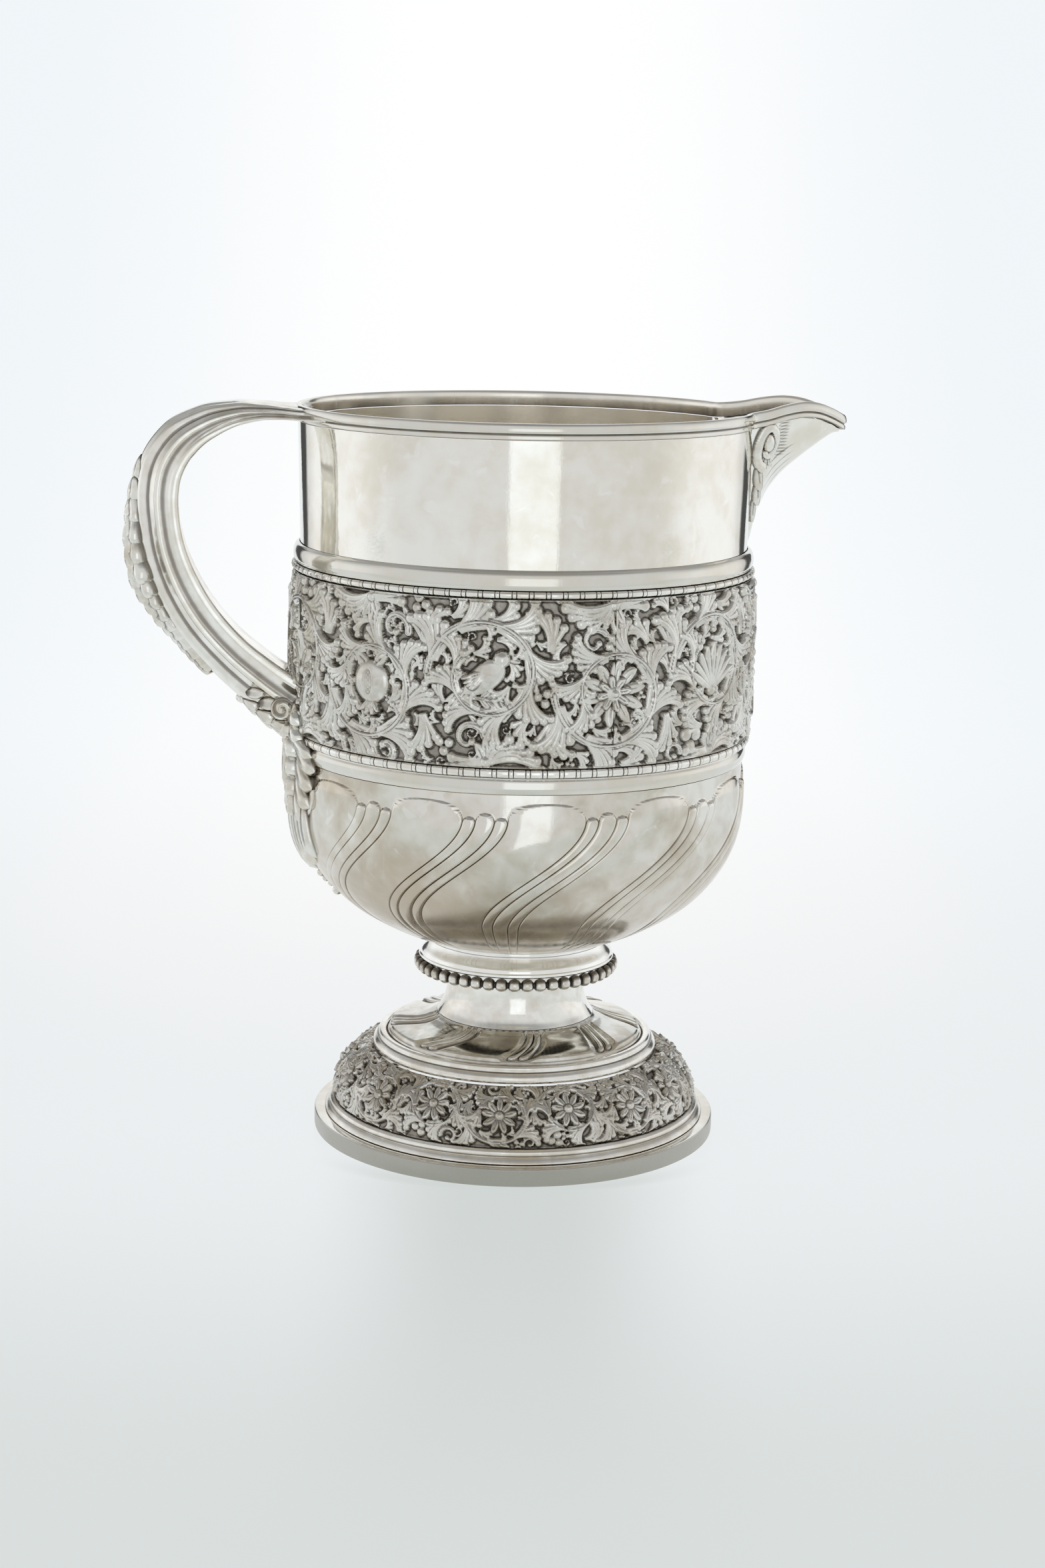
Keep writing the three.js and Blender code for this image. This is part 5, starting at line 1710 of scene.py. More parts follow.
@dataclass
class Body:
    """Plain wall, its mouldings, reed borders and chased frieze."""

    spout: Spout
    sides: int = 320
    sheet: float = 1.0
    wall_base: float = 143.5
    wall_grid: tuple[int, int] = (720, 14)
    flare_start: float = 220.6
    flare_height: float = 43.6
    frieze_base: float = 153.0
    frieze_height: float = 57.9
    frieze_radius: float = 84.0
    frieze_back: float = 81.7
    frieze_swell: float = 0.55
    frieze_gain: float = 1.12
    border_height: float = 1.35
    frieze_grid: tuple[int, int] = (1760, 196)
    frieze_turn: float = 15.0
    ground: float = 82.45
    panels: int = 4
    ties: int = 91
    reed_base: float = 1.5
    reed_back: float = 0.4
    reed_height: float = 1.45
    tie_swell: float = 0.18
    tie_pinch: float = 0.42

    def build(self, shop: Workshop) -> None:
        """Places every piece of the body.

        Args:
            shop: what places them.
        """
        self.wall(shop)
        lower = outline([
            (81.6, 143.7, 0), (82.5, 143.7, 0.1), (82.7, 144.1, 0.3), (83.2, 145.4, 0.45),
            (83.1, 147.9, 0.45), (82.5, 148.9, 0.3), (82.4, 149.3, 0.1), (81.6, 149.3, 0),
        ])
        shop.place("lower_band", revolve(lower, self.sides), Finish.MOULDING, "lower_moulding")
        upper = outline([
            (81.6, 214.0, 0), (83.2, 214.0, 0.1), (83.3, 214.5, 0.2), (83.7, 215.3, 0.4),
            (83.8, 217.8, 0.5), (83.0, 219.9, 0.45), (81.8, 220.6, 0.2), (81.6, 220.6, 0),
        ])
        shop.place("upper_band", revolve(upper, self.sides), Finish.MOULDING, "upper_moulding")
        self.reeds(shop, "lower_reed_and_tie", 149.5, 152.8, "lower_reed_border")
        self.reeds(shop, "upper_reed_and_tie", 211.1, 213.8, "upper_reed_border")
        self.frieze(shop)

    def wall(self, shop: Workshop) -> None:
        """Sheet cylinder that flares a little to the rim, notched for the spout.

        Args:
            shop: what places it.
        """
        turn = np.linspace(0.0, TAU, self.wall_grid[0], endpoint=False)[:, None]
        f = np.linspace(0.0, 1.0, self.wall_grid[1])[None, :]
        z = self.wall_base + (self.spout.notch(turn) - self.wall_base) * f
        r = WALL_RADIUS + np.clip((z - self.flare_start) / self.flare_height, 0, 1)
        sheet = np.concatenate([around(r, turn, z), around(r - self.sheet, turn, z)[:, ::-1]], 1)
        inside = np.concatenate([0 * z, 1 + 0 * z], axis=1)
        shop.place("body_wall_sheet", loft(sheet, True, inside=inside), Finish.WALL, "body_wall")

    def reeds(self, shop: Workshop, name: str, low: float, high: float, node: str) -> None:
        """Reed with ties: a half round that swells at each tie, between two dark grooves.

        Args:
            shop: what places it.
            name: the piece's name.
            low: height of its lower edge.
            high: height of its upper edge.
            node: the solid that it stands for.
        """
        half_unit = np.array([0.06, 0.1, 0.118, 0.135, 0.152, 0.17, 0.21])
        unit = np.concatenate([-half_unit[::-1], half_unit])
        s = np.tile(unit, self.ties)[:, None]
        turn = (np.repeat(np.arange(self.ties), len(unit))[:, None] + s) * TAU / self.ties
        tie = 1 - smooth(np.abs(s), 0.1, 0.13)
        gap = bell(np.abs(s), 0.135, 0.024)
        v = np.linspace(-1.0, 1.0, 11)[None, :]
        swell = self.reed_height + self.tie_swell * tie - self.tie_pinch * gap
        r = WALL_RADIUS + self.reed_base + half_round(v) * swell
        front = around(r, turn, (low + high) / 2 + (high - low) / 2 * v)
        back = around(WALL_RADIUS + self.reed_back, turn, np.array([high, low]))
        # Tarnish in the grooves beside each tie, and painted shade along both edges of the reed.
        recess = np.clip(0.85 * gap + 0.8 * np.abs(v) ** 8, 0, 1)
        recess = np.concatenate([recess, np.ones(back.shape[:2])], axis=1)
        skin = loft(np.concatenate([front, back], 1), True, recess)
        shop.place(name, skin, Finish.WORN, node, Crease.REED)

    def frieze(self, shop: Workshop) -> None:
        """Chased frieze: the vine in relief on a ground that swells slightly, in panels.

        Args:
            shop: what places them.
        """
        columns, rows = self.frieze_grid
        relief = Relief(TAU * self.frieze_radius, self.frieze_height, columns, rows)
        Rinceau().draw(relief)
        f = np.linspace(0.0, 1.0, rows)[None, :]
        turn = np.linspace(0.0, TAU, columns + 1)[:, None] + math.radians(self.frieze_turn)
        edge = smooth(f, 0.0, 0.015) * smooth(1 - f, 0.0, 0.015)
        border = np.maximum(1 - smooth(f, 0.0, 0.022), 1 - smooth(1 - f, 0.0, 0.022))
        height = np.maximum(self.frieze_gain * closed(relief.map) * edge, self.border_height * border)
        r = self.ground + self.frieze_swell * np.sin(math.pi * f) + height
        front = around(r, turn, self.frieze_base + self.frieze_height * f)
        levels = np.array([self.frieze_base + self.frieze_height, self.frieze_base])
        back = around(self.frieze_back, turn, levels)
        recess = closed(relief.recess(1.25)) * (1 - 0.6 * border)
        sections = np.concatenate([front, back], axis=1)
        shade = np.concatenate([recess, np.ones(back.shape[:2])], axis=1)
        shop.place_panels("frieze_panel", sections, shade, self.panels, Finish.RELIEF, "frieze_band")


@dataclass
class Mouth:
    """Rim wire, spout lip, beak and the scrolls on its flanks."""

    spout: Spout
    rim_steps: int = 360
    lip_steps: int = 200
    beak_grid: tuple[int, int] = (110, 121)
    beak_root: float = 7.0
    beak_end: float = 0.955
    beak_hug: float = 80.9
    beak_sheet: float = 1.0
    hatch_pitch: float = 1.2
    scroll_hug: float = 81.4
    scroll_spread: float = 1.4
    section: tuple[tuple[float, float, float], ...] = (
        (-1.3, 0.0, 0.05), (1.15, 0.0, 0.1), (1.3, 0.4, 0.4), (1.25, 1.4, 0.4), (0.8, 1.75, 0.25),
        (0.8, 2.05, 0.2), (1.5, 2.25, 0.4), (1.75, 3.4, 0.45), (1.1, 5.5, 0.45), (-0.5, 5.55, 0.4),
        (-1.3, 4.3, 0.4),
    )

    def build(self, shop: Workshop) -> None:
        """Places every piece of the mouth: one section turned round the rim and drawn along the lip.

        Args:
            shop: what places them.
        """
        shape = outline(list(self.section))
        # Tarnish in the groove of the outer face, and painted shade on the underside where the wire sits on
        # the wall and beak.
        shade = 0.9 * bell(shape[:, 1], 1.9, 0.2) * (shape[:, 0] > 0) + 0.6 * (shape[:, 1] < 0.15)
        within = 1.0 - smooth(shape[:, 0], -0.9, 0.0)
        seam = math.radians(self.spout.lip_start)
        turn = np.linspace(seam, TAU - seam, self.rim_steps)[:, None]
        ring = around(self.spout.rim_radius + shape[:, 0], turn, RIM_BASE + shape[:, 1])
        shop.place("rim_wire", loft(ring, False, shade, within), Finish.MOULDING, "rim_moulding")
        path = self.spout.path(self.lip_steps)
        run = np.gradient(path, axis=0) * [1, 1, 0]
        run[0], run[-1] = (math.sin(seam), math.cos(seam), 0), (-math.sin(seam), math.cos(seam), 0)
        run /= np.linalg.norm(run, axis=1, keepdims=True)
        out = np.stack([run[:, 1], -run[:, 0], 0 * run[:, 0]], -1)
        lip = path[:, None] + out[:, None] * shape[None, :, :1] + np.array([0, 0, 1]) * shape[None, :, 1:]
        shop.place("spout_lip_wire", loft(lip, False, shade, within), Finish.MOULDING, "spout_lip")
        self.beak(shop)
        for side, name in SIDES:
            node = f"spout_scroll_{name}"
            shop.place(f"spout_scroll_mount_{name}", self.scroll(side), Finish.CAST, node, Crease.CAST)

    def beak(self, shop: Workshop) -> None:
        """Beak shell: outer and inner faces through shared stations, chased with leaf lines.

        Four lines on each flank follow f = start + slope s, with s the distance out, and the
        ground beside the scroll is hatched.

        Args:
            shop: what places it.
        """
        tip = WALL_RADIUS + self.beak_end * self.spout.reach
        x = np.linspace(WALL_RADIUS - self.beak_root, tip, self.beak_grid[0])[:, None]
        f = np.linspace(-1.0, 1.0, self.beak_grid[1])[None, :]
        outer = self.spout.surface(x, f, 0.0)
        inner = self.spout.surface(x, f, -self.beak_sheet)[:, ::-1]
        sections = hug(np.concatenate([outer, inner], axis=1), self.beak_hug)
        s = (x - WALL_RADIUS) / self.spout.reach
        lines = [bell(np.abs(f) - 0.16 - 0.13 * k, 0.25 * s, 0.014) for k in range(4)]
        leaf = sum(lines) * smooth(s, 0.12, 0.2) * (1 - smooth(s, 0.36, 0.5))
        out, level = outer[..., 0], outer[..., 2]
        patch = smooth(out, 88.4, 89.2) * (1 - smooth(out, 91.5, 95.0)) * smooth(level, 252.0, 256.0)
        hatch = patch * (0.5 + 0.5 * np.cos(TAU * level / self.hatch_pitch))
        shade = np.concatenate([0.5 * hatch + 0.4 * leaf, 0 * hatch], axis=1)
        within = np.concatenate([0 * hatch, 0.2 + 0 * hatch], axis=1)
        skin = loft(sections, False, shade, within, True)
        shop.place("spout_beak", skin, Finish.WALL, "spout", Crease.REED)

    def scroll(self, side: int) -> Skin:
        """Scroll at the root of the beak, with leaves below it, on one flank.

        Args:
            side: 1 or -1, the flank.

        Returns:
            The skin.
        """
        def place(x: Array, z: Array, h: Array) -> Array:
            """Points raised from the flank, or from the wall where that is further out.

            Args:
                x: distance out from the axis.
                z: height above the table.
                h: height square to the flank.

            Returns:
                The points.
            """
            here = self.spout.flank(x, z, side)
            ahead, above = self.spout.flank(x + 0.2, z, side), self.spout.flank(x, z + 0.2, side)
            out = np.cross(ahead - here, above - here)
            out *= -side / np.maximum(np.linalg.norm(out, axis=-1, keepdims=True), 1e-9)
            return hug(here + h[..., None] * out, self.scroll_hug + self.scroll_spread * h)

        relief = Relief(28.0, 44.0, 94, 148)
        band = spline([
            (5.4, 28.2), (3.4, 30.2), (2.6, 34.0), (3.4, 38.6), (5.4, 42.2), (8.0, 42.8), (9.7, 40.4),
            (9.8, 37.0), (8.6, 33.9), (6.9, 32.6), (5.6, 33.4),
        ], 60)
        relief.stroke(band, np.linspace(1.9, 1.25, len(band)), 1.5, 0.4, 0.1)
        relief.ball(6.9, 37.4, 2.2, 2.3, 1.6)
        leaves = (
            (5.4, 33.6, -112, 6.0, 1.3, 1.3), (6.4, 33.2, -92, 6.0, 1.2, 1.3),
            (7.3, 33.2, -70, 5.0, 1.1, 1.2), (3.6, 29.0, -78, 9.5, 2.2, 1.15),
            (4.4, 23.0, -84, 9.0, 2.0, 1.1), (3.8, 16.5, -88, 9.0, 1.5, 1.0),
        )
        for leaf in leaves:
            relief.lobe(*leaf)
        return applique(relief, place, (78.0, 222.0), 0.28, 0.3)


@dataclass
class Handle:
    """Reeded loop with its husk chain, end bead, leaf and scrolls.

    A station is (out, down, depth, width) as shares of reach, drop, depth and half, and a
    point of the mould is (across, out, ease), across and out as shares of width and depth.
    """

    reach: float = 51.3
    drop: float = 107.5
    rise: float = 0.6
    half: float = 13.8
    depth: float = 15.8
    rim_hug: float = 82.6
    body_hug: float = 82.9
    hug_level: float = 235.0
    leaf_hug: float = 82.6
    crease_shade: float = 0.56
    chain_span: tuple[float, float] = (0.44, 0.80)
    bead_at: float = 0.806
    bead_radius: float = 1.9
    leaf_span: tuple[float, float] = (0.868, 0.992)
    volute_at: float = 0.93
    volute_radius: float = 4.0
    stations: tuple[tuple[float, float, float, float], ...] = (
        (-0.14, -0.026, 0.228, 2.609), (0.014, -0.024, 0.247, 2.029), (0.13, -0.025, 0.298, 1.486),
        (0.267, -0.026, 0.373, 1.188), (0.452, -0.018, 0.544, 1.044), (0.657, 0.013, 0.76, 1.0),
        (0.838, 0.069, 0.937, 1.0), (0.957, 0.15, 1.0, 1.0), (1.0, 0.243, 1.0, 1.0),
        (0.99, 0.346, 0.981, 1.0), (0.949, 0.453, 1.025, 1.0), (0.856, 0.569, 1.089, 1.0),
        (0.71, 0.684, 1.12, 1.0), (0.509, 0.792, 1.127, 0.985), (0.292, 0.882, 1.203, 0.97),
        (0.092, 0.953, 1.297, 0.97), (-0.084, 1.006, 1.329, 0.97),
    )
    mould: tuple[tuple[float, float, float], ...] = (
        (0.0, 0.5, 0.3), (0.2, 0.485, 0.3), (0.3, 0.4, 0.3), (0.36, 0.36, 0.3), (0.42, 0.4, 0.35),
        (0.53, 0.445, 0.45), (0.64, 0.37, 0.45), (0.675, 0.24, 0.3), (0.665, 0.19, 0.2),
        (0.73, 0.13, 0.45), (0.83, 0.07, 0.3), (0.895, 0.045, 0.2), (0.91, -0.035, 0.3),
        (0.865, -0.075, 0.3), (0.86, -0.19, 0.45), (0.92, -0.26, 0.3), (1.0, -0.32, 0.4),
        (1.0, -0.45, 0.45), (0.92, -0.5, 0.4), (0.6, -0.46, 0.4),
    )
    creases: tuple[tuple[float, float], ...] = ((0.36, 0.36), (0.667, 0.2), (0.862, -0.13))

    def __post_init__(self) -> None:
        """Works out the loop's line, depth and width, and its length from the rim."""
        crown = RIM_BASE + self.rise
        self.line = [
            (-(WALL_RADIUS + f * self.reach), crown - d * self.drop) for f, d, _, _ in self.stations
        ]
        at = np.linspace(0.0, 1.0, len(self.line))
        self.deep = along([(t, s[2] * self.depth) for t, s in zip(at, self.stations)])
        self.wide = along([(t, s[3] * self.half) for t, s in zip(at, self.stations)])
        self.fine = np.linspace(0.0, 1.0, 1201)
        steps = np.linalg.norm(np.diff(spline(self.line, len(self.fine)), axis=0), axis=1)
        self.length = np.concatenate([[0.0], np.cumsum(steps)])
        mirrored = [(-y, d, ease) for y, d, ease in self.mould[:0:-1]]
        self.shape = outline([*self.mould, (0.0, -0.44, 0.4), *mirrored], 5)
        side = self.shape[self.shape[:, 0] >= 0][:-4]
        self.side = side[np.concatenate([[True], np.abs(np.diff(side, axis=0)).sum(1) > 1e-4])]
        run = np.diff(self.side * [self.half, self.depth], axis=0)
        self.around = np.concatenate([[0.0], np.cumsum(np.linalg.norm(run, axis=1))])

    def at(self, t: Array, y: Array, d: Array) -> Array:
        """Points off the loop's line, square to the way that it runs.

        Args:
            t: place along the loop, from 0 to 1.
            y: distance across it.
            d: distance out from its line.

        Returns:
            The points.
        """
        t = np.asarray(t, float)
        here = spline(self.line, 0, t)
        ahead, behind = (spline(self.line, 0, np.clip(t + step, 0, 1)) for step in (1e-4, -1e-4))
        run = ahead - behind
        run /= np.linalg.norm(run, axis=-1, keepdims=True)
        x, z = here[..., 0] + d * run[..., 1], here[..., 1] - d * run[..., 0]
        return np.stack(np.broadcast_arrays(x, y, z), -1)

    def station(self, t: float) -> float:
        """Length from the rim to t."""
        return float(np.interp(t, self.fine, self.length))

    def skinned(self, s: Array, a: Array, h: Array) -> Array:
        """Points on the strap, raised along a lean that goes from its back to its flanks.

        Args:
            s: length from the rim.
            a: length round the strap from the middle of its back.
            h: height above it.

        Returns:
            The points.
        """
        t = np.interp(s, self.length, self.fine)
        y = np.interp(np.abs(a), self.around, self.side[:, 0])
        d = np.interp(np.abs(a), self.around, self.side[:, 1])
        lean = smooth(np.abs(a), 3.0, 17.0) * math.pi / 2
        across = np.sign(a) * (y * self.wide(t) + h * np.sin(lean))
        return self.at(t, across, d * self.deep(t) + h * np.cos(lean))

    def build(self, shop: Workshop) -> None:
        """Places every piece of the handle; the loop is its mould drawn along its line.

        Args:
            shop: what places them.
        """
        y, d = self.shape.T
        t = np.linspace(0.0, 1.0, 300)[:, None]
        strap = self.at(t, y * self.wide(t), d * self.deep(t))
        strap = hug(strap, np.where(strap[..., 2] > self.hug_level, self.rim_hug, self.body_hug))
        near = [bell(np.abs(y), dip, 0.05) * bell(d, level, 0.055) for dip, level in self.creases]
        shade = self.crease_shade * np.clip(sum(near), 0, 1)
        shop.place("handle_reeded_loop", loft(strap, recess=shade), Finish.WORN, "handle", Crease.LOOP)
        self.chain(shop)
        self.leaf(shop)
        for side, name in SIDES:
            node = f"handle_scroll_{name}"
            shop.place(f"handle_volute_{name}", self.volute(side), Finish.CAST, node, Crease.ROUND)

    def chain(self, shop: Workshop) -> None:
        """Husks down the back that overlap, swell from nothing and shrink to the end bead.

        Args:
            shop: what places them.
        """
        start, end = map(self.station, self.chain_span)
        run = end - start
        swell = along([
            (0.0, 1.8), (4.0, 3.0), (16.0, 7.4), (28.0, 9.2), (42.0, 6.6), (54.0, 4.0), (90.0, 2.7),
        ])
        rows = []
        for x in [*(5.5 * k for k in range(9)), 49.0, *(53.5 + 4.2 * k for k in range(9))]:
            lift = float(swell(x))
            half, length = 0.42 * lift + 1.3, 0.95 * lift + 5.4
            root = start + min(x, run - 5.0)
            rows.append((root, 0.0, 0.0, 1.08 * length, 0.9 * half, lift, 0.0))
            for side in (-1, 1):
                rows.append((root, side * 0.5 * half, side * 20.0, length, 0.8 * half, 0.86 * lift, 0.0))
        husks = drops(rows, self.skinned, (14, 16))
        shop.place("handle_husks", husks, Finish.CAST, "handle_husk_chain", Crease.CAST)
        bead = self.skinned(np.array([self.station(self.bead_at)]), np.zeros(1), np.ones(1))
        skin = balls(bead, [self.bead_radius], (16, 24))
        shop.place("handle_chain_bead", skin, Finish.CAST, "handle_end_bead")

    def leaf(self, shop: Workshop) -> None:
        """Acanthus under the loop's lower end: a curled tip, then four tiers that fan to its flanks.

        Args:
            shop: what places it.
        """
        start, end = map(self.station, self.leaf_span)
        run = end - start
        fan = ((2.6, 12.0, 10.0, 2.6), (6.6, 22.0, 9.6, 2.7), (11.0, 30.0, 9.0, 2.6))
        rows = []
        for f, size in ((0.0, 0.8), (0.24, 0.95), (0.48, 1.0), (0.72, 1.05)):
            x = start + run * f + 1.0
            for side in (-1, 1):
                for a, splay, length, half in fan:
                    root = (x - 0.12 * a, side * a)
                    rows.append((*root, side * splay, size * length, size * half, 2.9 * size, side * 0.6))
            rows.append((x, 0.0, 0.0, 10.6 * size, 2.8 * size, 3.0 * size, 0.0))
        curl = self.skinned(start + np.array([0.8, 1.2, 1.2]), np.array([0.0, -2.6, 2.6]), np.full(3, 0.2))
        skin = join([drops(rows, self.skinned), balls(curl, [1.7, 1.6, 1.6], (12, 16))])
        skin.points = hug(skin.points, self.leaf_hug)
        shop.place("handle_acanthus", skin, Finish.CAST, "handle_leaf", Crease.CAST)

    def volute(self, side: int) -> Skin:
        """Scroll on a flank of the loop's end: a disc whose face rises in a spiral.

        Args:
            side: 1 or -1, the flank.

        Returns:
            The skin.
        """
        centre = self.at(np.array([self.volute_at]), np.zeros(1), np.array([2.2]))[0]
        r = np.concatenate([np.linspace(0.02, 1.0, 22), [1.0, 0.9]])[:, None]
        turn = np.linspace(0.0, TAU, 48, endpoint=False)[None, :]
        ridge = 0.5 + 0.5 * np.cos(TAU * (1.5 * r - turn * side / TAU))
        face = 1.3 * bell(r, 0.0, 0.3) + 0.75 * ridge * smooth(r, 0.25, 0.4) * (1 - smooth(r, 0.93, 1.0))
        high = self.half + 0.9 + face
        high[-2:] = np.array([[self.half - 0.5], [self.half - 6.0]])
        disc = around(self.volute_radius * r, turn, 0.0)
        points = np.stack([centre[0] + disc[..., 0], side * high, centre[2] + disc[..., 1]], -1)
        return loft(points, recess=0.5 * (1 - smooth(face, 0.0, 0.5)))


@dataclass
class LeafMount:
    """Cast leaf on the body below the handle, and the bead drop that ends it.

    A lobe is (across, up, heading, length, half width, lift), and stands on both sides.
    """

    bowl: Bowl
    base: float = 97.5
    sink: float = 0.5
    lower_step: float = 0.2
    upper_step: float = 1.4
    seeds: int = 7
    seed_radius: float = 1.45
    spine: tuple[tuple[float, ...], ...] = (
        (0.0, 134.0, -90.0, 34.0, 3.8, 5.2, 0.0), (0.0, 162.0, -90.0, 34.0, 3.6, 6.2, 0.0),
    )
    lobes: tuple[tuple[float, ...], ...] = (
        (10, 163, -22, 13, 3.0, 3.2), (11, 157, -20, 14, 3.2, 3.4), (12, 152.5, -16, 18, 3.6, 3.0),
        (12, 147.5, -13, 20, 4.0, 2.8), (11, 142.5, -20, 19, 4.3, 3.0), (10, 137.5, -28, 19, 4.2, 3.0),
        (8, 132.5, -38, 17, 3.9, 2.8), (20, 131, -80, 23, 3.0, 2.6), (14.5, 131, -78, 26, 3.4, 2.6),
        (9, 133, -81, 30, 3.7, 2.7), (4.4, 132, -86, 32, 3.6, 3.0), (3.5, 160, -48, 12, 3.0, 4.2),
        (4, 153, -44, 12.5, 3.2, 4.4), (4, 146, -46, 12, 3.2, 4.4), (4, 139, -54, 12, 3.1, 4.2),
        (3.5, 132, -64, 12, 3.0, 3.8),
    )
    beads: tuple[tuple[float, float], ...] = ((0.6, 1.6), (-1.5, 1.45), (-3.5, 1.3), (-6.0, 1.9))

    def on_body(self, y: Array, z: Array, h: Array) -> Array:
        """Points on the bowl and the mouldings above it, at the handle's side.

        Args:
            y: distance across.
            z: height above the table.
            h: height square to the bowl.

        Returns:
            The points.
        """
        r = self.bowl.at(z) - self.sink + self.lower_step * smooth(z, 140.0, 146.0)
        r = r + self.upper_step * smooth(z, 147.0, 152.0)
        lean = self.bowl.at(z + 0.5) - self.bowl.at(z - 0.5)
        norm = np.sqrt(1 + lean ** 2)
        return around(r + h / norm, math.pi - y / np.maximum(r, 1.0), z - h * lean / norm)

    def build(self, shop: Workshop) -> None:
        """Places the leaf and the drop.

        Args:
            shop: what places them.
        """
        rows = list(self.spine)
        for side in (-1, 1):
            rows += [
                (side * y, z, splay if side > 0 else 180.0 - splay, length, half, 1.4 * lift, -side * 1.4)
                for y, z, splay, length, half, lift in self.lobes
            ]
        row = np.arange(self.seeds)
        seeds = [
            self.on_body(side * (9.0 - 0.35 * row), 151.0 - 3.6 * row, 3.0 - 0.15 * row)
            for side in (-1, 1)
        ]
        berries = balls(np.concatenate(seeds), np.full(2 * self.seeds, self.seed_radius))
        skin = join([drops(rows, self.on_body, (14, 16), 2.8, 0.65), berries])
        shop.place("body_acanthus_mount", skin, Finish.CAST, "body_leaf_mount", Crease.CAST)
        rise, r = np.array(self.beads).T
        drop = balls(self.on_body(0 * r, self.base + rise, 0.45 * r), r, (12, 18))
        shop.place("mount_bead_drop", drop, Finish.CAST, "bead_drop", Crease.ROUND)


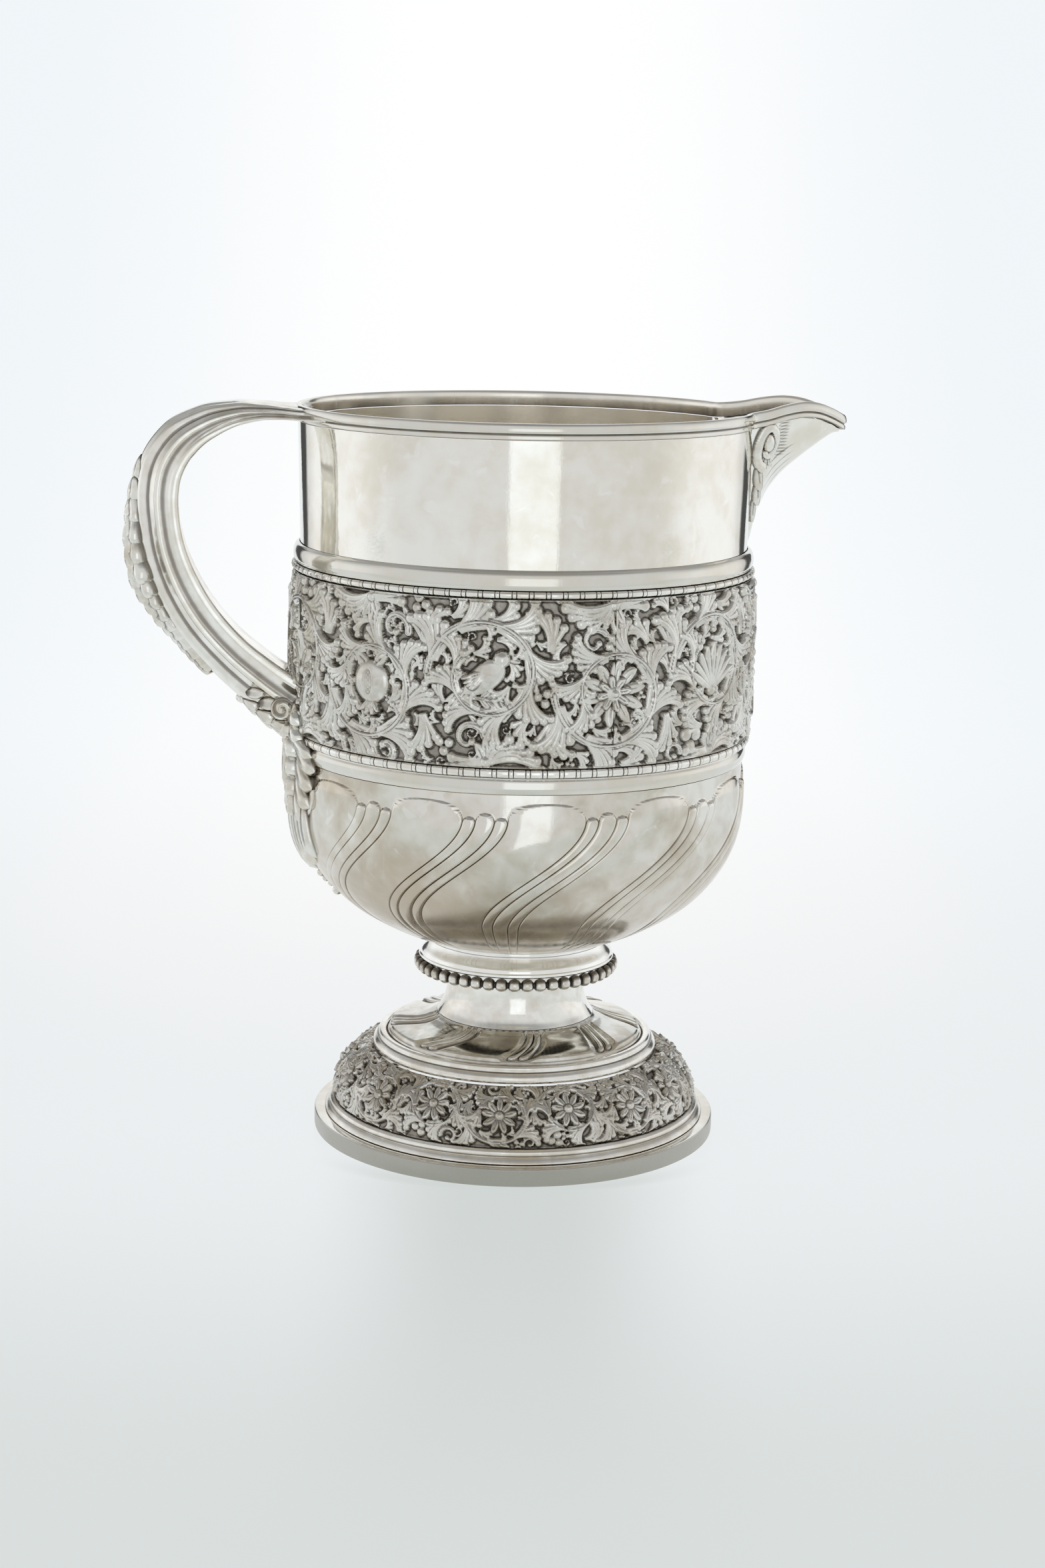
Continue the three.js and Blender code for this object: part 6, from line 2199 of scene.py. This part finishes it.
@dataclass
class Studio:
    """Pale floor and sweep, soft white surroundings and the camera, in metres and degrees."""

    eye: tuple[float, float, float] = (-0.11226, -1.02838, 0.3444)
    pitch: float = 11.663
    yaw: float = 0.069
    roll: float = 1.108
    plane: float = 7.0
    lens: float = 65.454
    axis: float = 0.014
    bend: float = 0.9
    bend_start: float = 0.7
    backdrop_top: float = 2.6
    columns: int = 13

    def build(self) -> None:
        """Makes the floor, the world and the camera."""
        self.across = (*aim(-self.plane), 0.0)
        self.ahead = (-self.across[1], self.across[0], 0.0)
        self.camera()
        self.floor()
        self.world()

    def camera(self) -> None:
        """Camera fitted to the photograph's view."""
        (cp, sp), (cy, sy), (cr, sr), (ca, sa) = map(aim, (self.pitch, self.yaw, self.roll, self.plane))
        ahead = np.array([sy * cp, cy * cp, -sp])
        right = np.array([cy, -sy, 0.0])
        up = np.cross(right, ahead)
        turn = np.array([[ca, sa, 0], [-sa, ca, 0], [0, 0, 1]])
        axes = np.stack([turn @ (right * cr + up * sr), turn @ (up * cr - right * sr), turn @ -ahead], 1)
        data = bpy.data.cameras.new("photo_camera")
        data.lens, data.sensor_width, data.sensor_fit = self.lens, 36.0, "AUTO"
        data.clip_start, data.clip_end = 0.05, 20.0
        camera = bpy.data.objects.new("photo_camera", data)
        camera.matrix_world = Matrix([[*axes[i], self.eye[i]] for i in range(3)] + [[0, 0, 0, 1]])
        bpy.context.scene.collection.objects.link(camera)
        bpy.context.scene.camera = camera

    def floor(self) -> None:
        """Floor that bends up in a quarter circle to a backdrop: a line of (y, z) carried across X."""
        turn = np.linspace(0.0, math.pi / 2, 60)
        back, up = self.bend_start + self.bend * np.sin(turn), self.bend - self.bend * np.cos(turn)
        flat = np.stack([np.linspace(-0.46, 0.69, 25), np.zeros(25)], 1)
        top = [[self.bend_start + self.bend, self.backdrop_top]]
        line = np.vstack([flat, np.stack([back, up], 1), top])
        y, z = line[:, :1], line[:, 1:]
        wide = 0.56 + 0.94 * (1 - smooth(y, 0.1, 0.8))
        x = wide * np.linspace(-1.0, 1.0, self.columns)[None, :]
        c, s = aim(self.plane)
        points = np.stack(np.broadcast_arrays(x * c + y * s, y * c - x * s, z), -1)
        quads = grid_quads(len(line), self.columns, False, False)[:, ::-1]
        mesh = bpy.data.meshes.new("studio_floor")
        mesh.from_pydata(points.reshape(-1, 3).tolist(), [], quads.tolist())
        mesh.shade_smooth()
        mesh.materials.append(self.paper())
        floor = bpy.data.objects.new("studio_floor", mesh)
        bpy.context.scene.collection.objects.link(floor)

    def paper(self) -> bpy.types.Material:
        """Pale paper that the eye and mirrors see mostly by a glow, with a painted shadow before the jug.

        Returns:
            The new material.
        """
        material = bpy.data.materials.new("pale_sweep")
        material.use_nodes = True
        b = Bench(material.node_tree)
        place = b.place()
        along_y, along_x = (b.vector("DOT_PRODUCT", place, way) for way in (self.ahead, self.across))
        wide = abs(along_x)
        # Painted fall-off of light: the paper and its glow dim towards the camera and out to the sides.
        colour = b.mix(along_y.ease(-0.32, 0.3), tone(0.80, 0.85, 0.835), tone(0.86, 0.895, 0.91))
        paper = b.node("ShaderNodeBsdfPrincipled", inputs={"Base Color": colour, "Roughness": 0.36})
        far = b.mix(wide.ease(0.06, 0.42), tone(1.0, 1.0, 1.0), tone(0.875, 0.917, 0.945))
        beside = b.mix(wide.ease(0.07, 0.3), tone(0.955, 0.98, 0.997), tone(0.92, 0.955, 0.97))
        near = b.mix(along_y.ease(-0.34, -0.1), tone(0.88, 0.925, 0.915), beside)
        # Painted shadow: the glow darkens in a soft patch in front of the jug and in a thin ring round its
        # foot.
        from_axis = b.vector("DISTANCE", place, (self.axis, 0.0, 0.0))
        cast = (1.0 - abs(along_x - self.axis).ease(0.012, 0.075)) * along_y.ease(-0.38, -0.07)
        shade = cast.most(1.0 - from_axis.ease(0.078, 0.091)) * (1.0 - along_y.ease(-0.075, -0.04))
        colour = b.mix(shade, b.mix(along_y.ease(0.0, 0.35), near, far), tone(0.735, 0.78, 0.767))
        glow = b.node("ShaderNodeEmission", inputs={"Color": colour, "Strength": 1.0})
        lit = 0.62 + 0.16 * along_y.ease(-0.3, 0.0) + 0.22 * along_y.ease(0.0, 0.9)
        kinds = ("Camera", "Glossy", "Transmission")
        eye, mirror, glass = (b.node("ShaderNodeLightPath", output=f"Is {kind} Ray") for kind in kinds)
        share = lit * eye.most(mirror).most(glass)
        mixed = b.node("ShaderNodeMixShader", inputs={0: share, 1: paper, 2: glow})
        b.node("ShaderNodeOutputMaterial", inputs={"Surface": mixed})
        return material

    def world(self) -> None:
        """Soft white surroundings that darken overhead.

        A pale panel stands behind the camera and dark flags stand beside the backdrop.
        """
        world = bpy.data.worlds.new("studio_world")
        world.use_nodes = True
        b = Bench(world.node_tree)
        ray = b.place("Generated")
        front = b.vector("DOT_PRODUCT", ray, tuple(-v for v in self.ahead))
        high = b.level(ray)
        azimuth = b.vector("DOT_PRODUCT", ray, self.across).degrees_from(front)
        turned = abs(azimuth)
        panel = azimuth.ease(-9.0, -6.0) * (1.0 - azimuth.ease(16.0, 18.5))
        panel = panel * high.ease(-0.38, -0.34) * (1.0 - high.ease(0.3, 0.34))
        flag = turned.ease(143.0, 147.0) * (1.0 - turned.ease(160.0, 166.0)) * (1.0 - high.ease(0.22, 0.36))
        ahead = 1.0 - turned.ease(60.0, 110.0)
        sides = turned.ease(60.0, 100.0) * (1.0 - turned.ease(130.0, 143.0))
        above = ahead * high.ease(0.5, 0.8) + (1.0 - ahead) * high.ease(0.12, 0.62)
        level = 0.76 - 0.42 * above + 0.22 * sides * (1.0 - 0.6 * above) + 0.36 * panel
        hue = b.mix(panel, tone(0.985, 0.995, 1.0), tone(0.94, 0.975, 1.0))
        light = {"Color": hue, "Strength": level * (1.0 - 0.9 * flag)}
        back = b.node("ShaderNodeBackground", inputs=light)
        b.node("ShaderNodeOutputWorld", inputs={"Surface": back})
        bpy.context.scene.world = world


def main() -> None:
    """Builds the studio and every sub-assembly in order."""
    logging.basicConfig(level=logging.INFO, format="%(name)s %(message)s")
    bpy.context.scene.view_settings.view_transform = "Standard"
    Studio().build()
    shop = Workshop()
    spout, bowl = Spout(), Bowl()
    for assembly in (Foot(), Knop(), bowl, Body(spout), Mouth(spout), Handle(), LeafMount(bowl)):
        assembly.build(shop)


if __name__ == "__main__":
    main()
